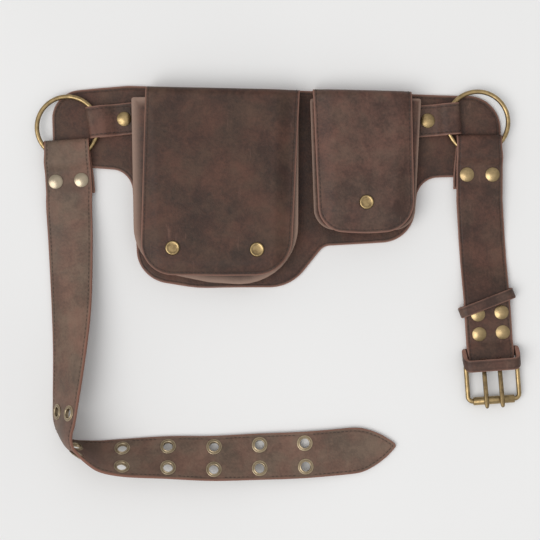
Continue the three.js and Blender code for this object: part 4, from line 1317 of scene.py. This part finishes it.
def united(pieces, name):
    """Closed pieces joined into one solid."""
    first, *others = pieces
    for other in others:
        modifier = first.modifiers.new("join", "BOOLEAN")
        modifier.operation, modifier.solver, modifier.object = "UNION", "EXACT", other
    mesh = plain_mesh(first, name)
    for piece in pieces:
        bpy.data.objects.remove(piece)
    return linked(name, mesh)


def tube_profile(bore, radius, half, bevel):
    """Profile of a short tube whose ends are bevelled by a depth and a length."""
    depth, length = bevel
    return [
        (bore, -half), (radius - depth, -half), (radius, length - half),
        (radius, half - length), (radius - depth, half), (bore, half),
    ]


def prong(name, offset, place, material):
    """A prong: an eye round the bar, and a shank that lies on the roller and ends bluntly."""
    eye, half, height = PRONG["eye"], PRONG["width"] / 2, PRONG["height"]
    ring = tube_profile(PRONG["bore"], eye, half, PRONG["bevel"])
    points, polygons = lathed(ring, PRONG_EYE_SIDES)
    points = np.column_stack([points[:, 2] + offset, points[:, 1], BAR_HEIGHT + points[:, 0]])
    rest = BAR_HEIGHT + ROLLER["radius"] + GAP + height / 2
    root = BAR_HEIGHT + eye - height / 2
    slope = (rest - root) / ROLLER_DISTANCE
    turns = np.linspace(0, 2 * math.pi, PRONG_SIDES, endpoint=False) + math.pi / PRONG_SIDES
    across, up = (
        np.sign(wave) * np.abs(wave) ** PRONG_SQUARENESS for wave in (np.cos(turns), np.sin(turns))
    )
    sections = []
    for y, size in PRONG_SECTIONS:
        x, z = across * half * size, up * height / 2 * size
        sections.append(
            np.column_stack([x + offset, np.full(PRONG_SIDES, y), root - y * slope + z])
        )
    shank, shank_faces = lofted(sections, False)
    parts = [
        rubbed_piece(f"{name}_eye", moved(place, points), polygons, material, RUBBED["prong_eye"]),
        rubbed_piece(
            f"{name}_shank", moved(place, shank), shank_faces, material, RUBBED["prong_shank"],
        ),
    ]
    return united(parts, name)


def domed_head(radius, rise):
    """Profile of a domed head with its rim on the leather at z = 0: radius, height, rubbing."""
    dull = HEAD_RUBBED["foot"]
    dome = []
    for turn in HEAD_TURNS:
        bulge = math.cos(turn) ** 2
        height = rise * (HEAD_FOOT + (1 - HEAD_FOOT) * bulge)
        rubbed = dull + (1 - dull) * bulge ** HEAD_RUBBED["fade"]
        dome.append((radius * math.sin(turn), height, rubbed))
    return [*dome, (radius, rise * HEAD_RIM, HEAD_RUBBED["rim"]), (radius, -SEAT, 0.0)]


def rivet_profile(stack):
    """A rivet through a stack of leather: domed head, shank and flat back."""
    shank, back = RIVET_SHANK, RIVET_BACK
    top, edge, foot = BACK_TOP - stack, BACK_EDGE - stack, BACK_FOOT - stack
    return [
        *domed_head(*RIVET_HEAD), (shank, -SEAT, 0), (shank, top, 0), (back, top, 0),
        (back, edge, BACK_RUBBED["edge"]), (back - BACK_BEVEL, foot, BACK_RUBBED["foot"]),
        (0, foot, BACK_RUBBED["foot"]),
    ]


def eyelet_profile():
    """A rolled eyelet, the same on both faces of the strap."""
    face = STRAP_THICKNESS / 2 - SEAT
    upper = [(radius, face + height, rubbed) for radius, height, rubbed in EYELET_HALF]
    return upper + [(radius, -height, rubbed) for radius, height, rubbed in reversed(upper)]


# Operators' work

def build_panel(scene):
    loop = spaced(rounded_path(PANEL_CORNERS, True, FINE_QUARTER), PANEL_STEP, True)
    loop[:, 0] += ripple(loop[:, 0], loop[:, 1], *PANEL_RIPPLES[0])
    loop[:, 1] += ripple(loop[:, 1], loop[:, 0], *PANEL_RIPPLES[1])
    holes = []
    for x, y, angle, _ in TABS.values():
        at = turned_place(x, y, angle) @ Vector((TAB_RIVET_FROM_END, 0, 0))
        holes.append(rivet_hole(at.x, at.y))

    def surface(points):
        return np.column_stack([points, np.full(len(points), PANEL_THICKNESS / 2)])

    piece = leather_sheet(
        "bag_panel", [loop, *holes], surface, PANEL_THICKNESS, body_leather(scene),
        SHEET_DETAIL["panel"],
    )
    settle(piece, "bag", "leather", "back_panel")


def build_pouches(scene):
    look = scene.belt_bag_leather
    colours = {"large": look.large_flap, "small": look.small_flap}
    gusset_leather = leather(scene, "brown_leather", look.body)
    for size, pouch in POUCHES.items():
        holes = [circle(x, y, SNAP_HOLE, RIVET_HOLE_SIDES) for x, y in pouch["snaps"]]
        # The fronts' pale band along their lower edge is painted light, and partly rubbing
        front_leather = leather(
            scene, f"{size}_front_leather", look.body, edge_gain=FRONT_EDGE_AND_LIGHT_GAIN,
            wear_and_light=pouch["front_light_and_wear"],
        )
        flap_leather = leather(scene, f"{size}_flap_leather", colours[size], seam_inset(scene))
        sheets = {
            "gusset": (*gusset_sheet(pouch), gusset_leather),
            "front": ([front_loop(pouch), *holes], front_surface(pouch), front_leather),
            "flap": ([flap_loop(pouch), *holes], flap_surface(pouch), flap_leather),
        }
        for part, (loops, surface, material) in sheets.items():
            piece = leather_sheet(
                f"{size}_{part}", loops, surface, POUCH_THICKNESS, material, SHEET_DETAIL[part],
            )
            settle(piece, "bag", "leather", f"{size}_pouch_{part}")


def build_tabs(scene):
    material = trim_leather(scene, "tab_leather", seam_inset(scene))
    for side, tab in TABS.items():
        loops, surface = tab_sheet(tab, TAB_SLANT[side])
        piece = leather_sheet(
            f"{side}_ring_tab", loops, surface, TAB_THICKNESS, material, SHEET_DETAIL["tab"],
        )
        settle(piece, "bag", "leather", f"{side}_tab")


def build_punched_strap(scene):
    surface, along, path = punched_strap()
    holes = [
        circle(s, across, EYELET_HOLE, EYELET_HOLE_SIDES) for s, across in punched_eyelets(along)
    ]
    lengths = lengths_along(path)
    slant = under_slant(lengths, path, UNDER_SLANT["left"])
    for s in passes(lengths, path, LEFT_LOOP["rivet"]):
        holes += [rivet_hole(s, side * LOOP_RIVET_SPREAD - slant(s)) for side in (-1, 1)]
    loops = [strip_loop(along[-1], *punched_halves(along, path)), *holes]
    material = leather(
        scene, "punched_strap_leather", scene.belt_bag_leather.strap, seam_inset(scene),
        STRAP_EDGE, STRAP_WEAR, STRAP_CALM,
    )
    piece = leather_sheet(
        "punched_strap", loops, surface, STRAP_THICKNESS, material, SHEET_DETAIL["punched_strap"],
    )
    settle(piece, "bag", "pale_leather", "left_strap")


def build_buckle_strap(scene):
    surface, along, path = buckle_strap()
    slant = under_slant(along, path, UNDER_SLANT["right"])
    seats = [(RIGHT_LOOP["rivet"], side * LOOP_RIVET_SPREAD) for side in (-1, 1)]
    seats += [(distance, across) for distance, across, _, _ in BUCKLE_RIVETS]
    holes = [
        rivet_hole(s, across - slant(s))
        for distance, across in seats for s in passes(along, path, distance)
    ]
    start = passes(along, path, BAR_DISTANCE - PRONG_SLOT["back"])[-2]
    end = passes(along, path, BAR_DISTANCE - PRONG_SLOT["back_below"])[-1]
    half = PRONG_SLOT["width"] / 2
    for x in PRONGS.values():
        ends = [(start, x - half), (end, x - half), (end, x + half), (start, x + half)]
        slot = rounded_path([(*corner, PRONG_SLOT["corner"]) for corner in ends], True)
        holes.append(spaced(slot, SLOT_STEP, True))

    def inner(s):
        return folded_half(BAR_DISTANCE - np.interp(s, along, path[:, 0]) + BAR_FOLD_EASE)

    def outer(s):
        return np.minimum(inner(s), folded_half(np.interp(s, along, path[:, 0])))

    loops = [strip_loop(along[-1], inner, outer), *holes]
    piece = leather_sheet(
        "buckle_strap", loops, surface, STRAP_THICKNESS, body_leather(scene),
        SHEET_DETAIL["buckle_strap"],
    )
    settle(piece, "bag", "leather", "right_strap")


def build_keepers(scene):
    material = trim_leather(scene, "keeper_leather", KEEPER_CREASE)
    sliding = keeper_loop("slanted_keeper", SLIDING_KEEPER, turned_place(*SLIDING_PLACE), material)
    settle(sliding, "bag", "leather", "sliding_keeper")
    place = buckle_place() @ Matrix.Translation((0, BUCKLE_KEEPER_BACK, 0))
    fixed = keeper_loop("bar_keeper", BUCKLE_KEEPER, place, material)
    settle(fixed, "bag", "leather", "buckle_keeper")


def build_rings(scene):
    material = brass(scene, "ring")
    path = circle(0, 0, RING_RADIUS, RING_SIDES)
    for side, (x, y) in RINGS.items():
        place = Matrix.Translation((x, y, 0))
        piece = wire_loop(f"{side}_ring_wire", path, RING_HEIGHT, place, material)
        settle(piece, f"{side}_ring", "brass", f"{side}_ring")


def build_buckle(scene):
    material = brass(scene, "buckle")
    place = buckle_place()
    at_bar, at_roller = FRAME_CORNERS
    corners = [
        (-FRAME_HALF, 0, at_bar), (-FRAME_HALF, -ROLLER_DISTANCE, at_roller),
        (FRAME_HALF, -ROLLER_DISTANCE, at_roller), (FRAME_HALF, 0, at_bar),
    ]
    path = spaced(rounded_path(corners, True), BUCKLE_STEP, True)
    bent_wire = wire_loop("buckle_wire", path, BAR_HEIGHT, place, material)
    settle(bent_wire, "frame", "brass", "buckle_frame")
    points, polygons = lathed(
        tube_profile(ROLLER["bore"], ROLLER["radius"], ROLLER["length"] / 2, ROLLER["bevel"])
    )
    x, y, z = points[:, 2], points[:, 1] - ROLLER_DISTANCE, BAR_HEIGHT + points[:, 0]
    points = moved(place, np.column_stack([x, y, z]))
    tube = rubbed_piece("buckle_tube", points, polygons, material, RUBBED["roller"])
    settle(tube, "roller", "brass", "buckle_roller")
    for name, offset in PRONGS.items():
        settle(prong(f"{name}_bar", offset, place, material), name, "brass", name)


def rivet_places():
    """Tab rivets, then strap rivets: place, up and way of each."""
    up, way = np.array([0, 0, 1.0]), np.array([1.0, 0, 0])
    tabs = [
        (np.array(turned_place(x, y, angle) @ Vector((TAB_RIVET_FROM_END, 0, TAB_STACK))), up, way)
        for x, y, angle, _ in TABS.values()
    ]
    top = PANEL_THICKNESS + GAP + STRAP_STACK
    left = turned_place(LEFT_LOOP["x"], LEFT_LOOP["y"], LEFT_LOOP["angle"])
    straps = [
        (np.array(left @ Vector((side * LOOP_RIVET_SPREAD, -LEFT_LOOP["rivet"], top))), up, way)
        for side in (-1, 1)
    ]
    seats = [(RIGHT_LOOP["rivet"], side * LOOP_RIVET_SPREAD, top, 0) for side in (-1, 1)]
    for distance, across, height, tilt in seats + BUCKLE_RIVETS:
        x, y, turn = (float(v) for v in buckle_strap_place(np.array(distance)))
        flat = turned_place(x, y, math.degrees(turn))
        place = flat @ Matrix.Rotation(math.radians(-tilt), 4, "X")
        at = np.array(flat @ Vector((across, 0, height)))
        straps.append((at, np.array(place.col[2][:3]), np.array(place.col[0][:3])))
    return tabs, straps


def build_rivets(scene):
    tabs, straps = rivet_places()
    left = [f"left_strap_rivet_{i}" for i in (1, 2)]
    right = [f"right_strap_rivet_{i}" for i in (1, 2)]
    buckle = [f"buckle_rivet_{i}" for i in (1, 2, 3, 4)]
    rivets = {
        "tab_rivets": (TAB_STACK, tabs, ["left_tab_rivet", "right_tab_rivet"]),
        "strap_rivets": (STRAP_STACK, straps[:2], left),
        "buckle_strap_rivets": (STRAP_STACK, straps[2:], right + buckle),
    }
    for name, (stack, places, nodes) in rivets.items():
        settle(fittings(scene, name, rivet_profile(stack), places), "bag", "brass", *nodes)


def build_snaps(scene):
    up, way = (0, 0, 1), (1, 0, 0)
    half = POUCH_THICKNESS / 2
    caps, studs = [], []
    for pouch in POUCHES.values():
        at = np.array(pouch["snaps"])
        caps += [(p + [0, 0, half], up, way) for p in flap_surface(pouch)(at)]
        studs += [(p + [0, 0, half], up, way) for p in front_surface(pouch)(at)]
    names = ["large_snap_{}_1", "large_snap_{}_2", "small_snap_{}"]
    for part, profile, places in (("cap", SNAP_CAP, caps), ("stud", SNAP_STUD, studs)):
        piece = fittings(scene, f"snap_{part}s", profile, places)
        settle(piece, "bag", "brass", *[name.format(part) for name in names])


def build_eyelets(scene):
    surface, along, _ = punched_strap()
    at = np.array(punched_eyelets(along))
    way, _, up = surface_axes(surface, at, EYELET_REACH)
    places = list(zip(surface(at), up, way))
    piece = fittings(scene, "strap_eyelets", eyelet_profile(), places, EYELET_SIDES)
    nodes = [f"strap_eyelet_{i + 1}{side}" for i in range(EYELET_PAIRS) for side in "ab"]
    settle(piece, "bag", "brass", *nodes)


def stitch_places(sheet, path, pitch, sides):
    """Stitches along a flat path on a sheet's front (1) or back (-1)."""
    at = spaced(path, pitch / STITCH_STEPS)[::STITCH_STEPS]
    way = unit(np.gradient(at, axis=0))
    keep = border_distance(at, sheet["loops"][1:]) > STITCH_CLEARANCE
    at, way = at[keep], way[keep]
    along, across, normal = surface_axes(sheet["surface"], at)
    run = unit(way[:, :1] * along + way[:, 1:] * across)
    middle = sheet["surface"](at)
    places = []
    for side in sides:
        places += list(zip(middle + normal * side * sheet["half"], normal * side, run))
    return places


def inset_path(loop, inset):
    """The line a set distance inside an outline."""
    ahead = headings(loop)
    line = loop + np.column_stack([-ahead[:, 1], ahead[:, 0]]) * inset
    line = line[border_distance(line, [loop]) > inset - SEAM_TOLERANCE]
    return np.vstack([line, line[:1]])


def build_stitching(scene):
    look = scene.belt_bag_thread
    rows = []
    for name, sides in SEWN.items():
        sheet = SHEETS[name]
        seam = inset_path(sheet["loops"][0], seam_inset(scene))
        rows += stitch_places(sheet, seam, look.pitch / MM, sides)
    piece = grown("stitches", stitch_tree(), rows, {
        "Stitch Length": look.length, "Thread Width": look.width,
        "Thread Height": look.width * THREAD_FLATNESS, "Material": thread_material(scene),
    })
    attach(piece, "bag")


def add_light(name, kind, place, power, colour):
    """A light aimed at the middle of the floor."""
    data = bpy.data.lights.new(name, kind)
    data.energy, data.color = power, colour
    light = linked(name, data)
    light.location = place
    light.rotation_euler = (-Vector(place)).to_track_quat("-Z", "Y").to_euler()
    return data


def build_stage(scene):
    look = scene.belt_bag_stage
    half = FLOOR_HALF
    corners = [(-half, -half), (half, -half), (half, half), (-half, half)]
    mesh = bpy.data.meshes.new("floor")
    mesh.from_pydata([(x, y, -FLOOR_DROP) for x, y in corners], [], [(0, 1, 2, 3)])
    material = bpy.data.materials.new("pale_floor")
    material.use_nodes = True
    w = Wiring(material.node_tree)
    coords = w.add("ShaderNodeTexCoord").outputs["Object"]
    shade = w.span(w.noise(coords, 2.5, 2.0), 0.3, 0.7)
    pale, dark = rgba(look.floor, 1 + FLOOR_CLOUDS), rgba(look.floor, 1 - FLOOR_CLOUDS)
    colour = w.mix(shade, dark, pale)
    shader = material.node_tree.nodes["Principled BSDF"]
    shader.inputs["Roughness"].default_value = 0.9
    shader.inputs["Specular IOR Level"].default_value = 0.1
    material.node_tree.links.new(colour, shader.inputs["Base Color"])
    mesh.materials.append(material)
    floor = linked("floor", mesh)
    world = bpy.data.worlds.new("soft_room")
    world.use_nodes = True
    background = world.node_tree.nodes["Background"].inputs
    background["Color"].default_value = rgba(WHITE)
    background["Strength"].default_value = look.room
    scene.world = world
    window = add_light("window", "SUN", WINDOW_PLACE, look.window, WINDOW_COLOUR)
    window.angle = look.window_spread
    overhead = add_light("overhead", "AREA", OVERHEAD_PLACE, look.overhead, WHITE)
    overhead.shape, overhead.size = "DISK", OVERHEAD_WIDTH
    scene.view_settings.view_transform = "Standard"
    camera = bpy.data.cameras.new("overhead_camera")
    camera.sensor_width = CAMERA_SENSOR
    camera.lens = CAMERA_SENSOR * look.camera_height / look.field
    eye = linked("overhead_camera", camera)
    eye.location = (*CAMERA_OVER, look.camera_height)
    scene.camera = eye


# Settings that a user would change

def colour_setting(name, description, default):
    return FloatVectorProperty(
        name=name, description=description, subtype="COLOR", size=3, min=0, max=1, default=default,
    )


def length_setting(name, description, default):
    return FloatProperty(
        name=name, description=description, unit="LENGTH", subtype="DISTANCE", min=0.0001,
        default=default,
    )


def share_setting(name, description, default, most=1.0):
    return FloatProperty(
        name=name, description=description, subtype="FACTOR", min=0, max=most, default=default,
    )


class BeltBagLeather(bpy.types.PropertyGroup):
    """Colours and grain of the leather"""

    body: colour_setting(
        "Body", "Colour of the panel, pouches and buckle strap", (0.075, 0.037, 0.0255),
    )
    large_flap: colour_setting(
        "Large flap", "Colour of the large pouch's flap", (0.065, 0.0325, 0.022),
    )
    small_flap: colour_setting(
        "Small flap", "Colour of the small flap, the tabs and the keepers", (0.088, 0.0465, 0.034),
    )
    strap: colour_setting("Punched strap", "Colour of the punched strap", (0.139, 0.086, 0.0625))
    cut_edge: colour_setting(
        "Cut edge", "Colour of the raw cut edges and scuffs", (0.28, 0.145, 0.108),
    )
    grain: length_setting("Grain", "Size of one grain cell", 0.0011)
    mottling: share_setting("Mottling", "Share by which the tone varies", 0.5, most=0.9)
    scuffs: share_setting("Scuffs", "Strength of the pale scuffs", 0.22)


class BeltBagThread(bpy.types.PropertyGroup):
    """Sizes and colour of the stitching"""

    colour: colour_setting("Thread", "Colour of the thread", (0.045, 0.028, 0.021))
    inset: length_setting("Inset", "Distance of the stitches from the cut edge", 0.0031)
    pitch: length_setting("Pitch", "Distance from one stitch to the next", 0.0042)
    length: length_setting("Length", "Length of one stitch", 0.0031)
    width: length_setting("Width", "Width of the thread", 0.0007)


class BeltBagBrass(bpy.types.PropertyGroup):
    """Colours of the metal"""

    bright: colour_setting("Bright", "Colour of rubbed brass", (0.45, 0.325, 0.16))
    patina: colour_setting("Patina", "Colour of aged brass", (0.11, 0.076, 0.04))


class BeltBagStage(bpy.types.PropertyGroup):
    """Floor, light and camera"""

    floor: colour_setting("Floor", "Colour of the floor", (0.8, 0.8, 0.8))
    room: FloatProperty(
        name="Room light", description="Strength of the light from all round", min=0,
        default=0.585,
    )
    window: FloatProperty(
        name="Window", description="Strength of the light from the lower left", min=0, default=1.4,
    )
    window_spread: FloatProperty(
        name="Window spread", description="Angle that the window fills", subtype="ANGLE",
        min=0, max=math.pi, default=math.radians(46),
    )
    overhead: FloatProperty(
        name="Overhead", description="Power of the soft light above", unit="POWER", min=0,
        default=6.5,
    )
    camera_height: length_setting("Camera height", "Height of the camera over the floor", 1.55)
    field: length_setting("Field", "Width of the floor that the camera sees", 0.54)


SETTINGS = {
    "belt_bag_leather": BeltBagLeather, "belt_bag_thread": BeltBagThread,
    "belt_bag_brass": BeltBagBrass, "belt_bag_stage": BeltBagStage,
}


# Operators

class BELTBAG_OT_stage(bpy.types.Operator):
    """Lay the floor, set the lights and place the camera"""

    bl_idname = "beltbag.stage"
    bl_label = "Stage"

    def execute(self, context):
        build_stage(context.scene)
        return {"FINISHED"}


class BELTBAG_OT_panel(bpy.types.Operator):
    """Cut the back panel"""

    bl_idname = "beltbag.panel"
    bl_label = "Back panel"

    def execute(self, context):
        build_panel(context.scene)
        return {"FINISHED"}


class BELTBAG_OT_pouches(bpy.types.Operator):
    """Build both pouches: gusset, front and flap"""

    bl_idname = "beltbag.pouches"
    bl_label = "Pouches"

    def execute(self, context):
        build_pouches(context.scene)
        return {"FINISHED"}


class BELTBAG_OT_tabs(bpy.types.Operator):
    """Fold the tabs round the rings"""

    bl_idname = "beltbag.tabs"
    bl_label = "Ring tabs"

    def execute(self, context):
        build_tabs(context.scene)
        return {"FINISHED"}


class BELTBAG_OT_punched_strap(bpy.types.Operator):
    """Lay the punched strap round its corner"""

    bl_idname = "beltbag.punched_strap"
    bl_label = "Punched strap"

    def execute(self, context):
        build_punched_strap(context.scene)
        return {"FINISHED"}


class BELTBAG_OT_buckle_strap(bpy.types.Operator):
    """Lay the strap that carries the buckle"""

    bl_idname = "beltbag.buckle_strap"
    bl_label = "Buckle strap"

    def execute(self, context):
        build_buckle_strap(context.scene)
        return {"FINISHED"}


class BELTBAG_OT_keepers(bpy.types.Operator):
    """Close the two keeper loops"""

    bl_idname = "beltbag.keepers"
    bl_label = "Keepers"

    def execute(self, context):
        build_keepers(context.scene)
        return {"FINISHED"}


class BELTBAG_OT_rings(bpy.types.Operator):
    """Bend the two rings"""

    bl_idname = "beltbag.rings"
    bl_label = "Rings"

    def execute(self, context):
        build_rings(context.scene)
        return {"FINISHED"}


class BELTBAG_OT_buckle(bpy.types.Operator):
    """Build the buckle's frame, roller and prongs"""

    bl_idname = "beltbag.buckle"
    bl_label = "Buckle"

    def execute(self, context):
        build_buckle(context.scene)
        return {"FINISHED"}


class BELTBAG_OT_rivets(bpy.types.Operator):
    """Set the rivets"""

    bl_idname = "beltbag.rivets"
    bl_label = "Rivets"

    def execute(self, context):
        build_rivets(context.scene)
        return {"FINISHED"}


class BELTBAG_OT_snaps(bpy.types.Operator):
    """Set the snaps"""

    bl_idname = "beltbag.snaps"
    bl_label = "Snaps"

    def execute(self, context):
        build_snaps(context.scene)
        return {"FINISHED"}


class BELTBAG_OT_eyelets(bpy.types.Operator):
    """Set the eyelets in the punched strap"""

    bl_idname = "beltbag.eyelets"
    bl_label = "Eyelets"

    def execute(self, context):
        build_eyelets(context.scene)
        return {"FINISHED"}


class BELTBAG_OT_stitching(bpy.types.Operator):
    """Sew along the edges of the leather"""

    bl_idname = "beltbag.stitching"
    bl_label = "Stitching"

    def execute(self, context):
        build_stitching(context.scene)
        return {"FINISHED"}


OPERATORS = [
    BELTBAG_OT_stage, BELTBAG_OT_panel, BELTBAG_OT_pouches, BELTBAG_OT_tabs,
    BELTBAG_OT_punched_strap, BELTBAG_OT_buckle_strap, BELTBAG_OT_keepers, BELTBAG_OT_rings,
    BELTBAG_OT_buckle, BELTBAG_OT_rivets, BELTBAG_OT_snaps, BELTBAG_OT_eyelets,
    BELTBAG_OT_stitching,
]


class BELTBAG_PT_sidebar(bpy.types.Panel):
    """Lists the bag's pieces and settings"""

    bl_idname = "BELTBAG_PT_sidebar"
    bl_label = "Belt bag"
    bl_space_type = "VIEW_3D"
    bl_region_type = "UI"
    bl_category = "Belt bag"

    def draw(self, context):
        for operator in OPERATORS:
            self.layout.operator(operator.bl_idname)
        for label, group in SETTINGS.items():
            box = self.layout.box()
            for setting in group.__annotations__:
                box.prop(getattr(context.scene, label), setting)


CLASSES = [*SETTINGS.values(), *OPERATORS, BELTBAG_PT_sidebar]


def register():
    for each in CLASSES:
        bpy.utils.register_class(each)
    for label, group in SETTINGS.items():
        setattr(bpy.types.Scene, label, PointerProperty(type=group))


def unregister():
    for label in SETTINGS:
        delattr(bpy.types.Scene, label)
    for each in reversed(CLASSES):
        bpy.utils.unregister_class(each)


def main():
    register()
    for operator in OPERATORS:
        getattr(bpy.ops.beltbag, operator.bl_idname.split(".")[1])()


if __name__ == "__main__":
    main()
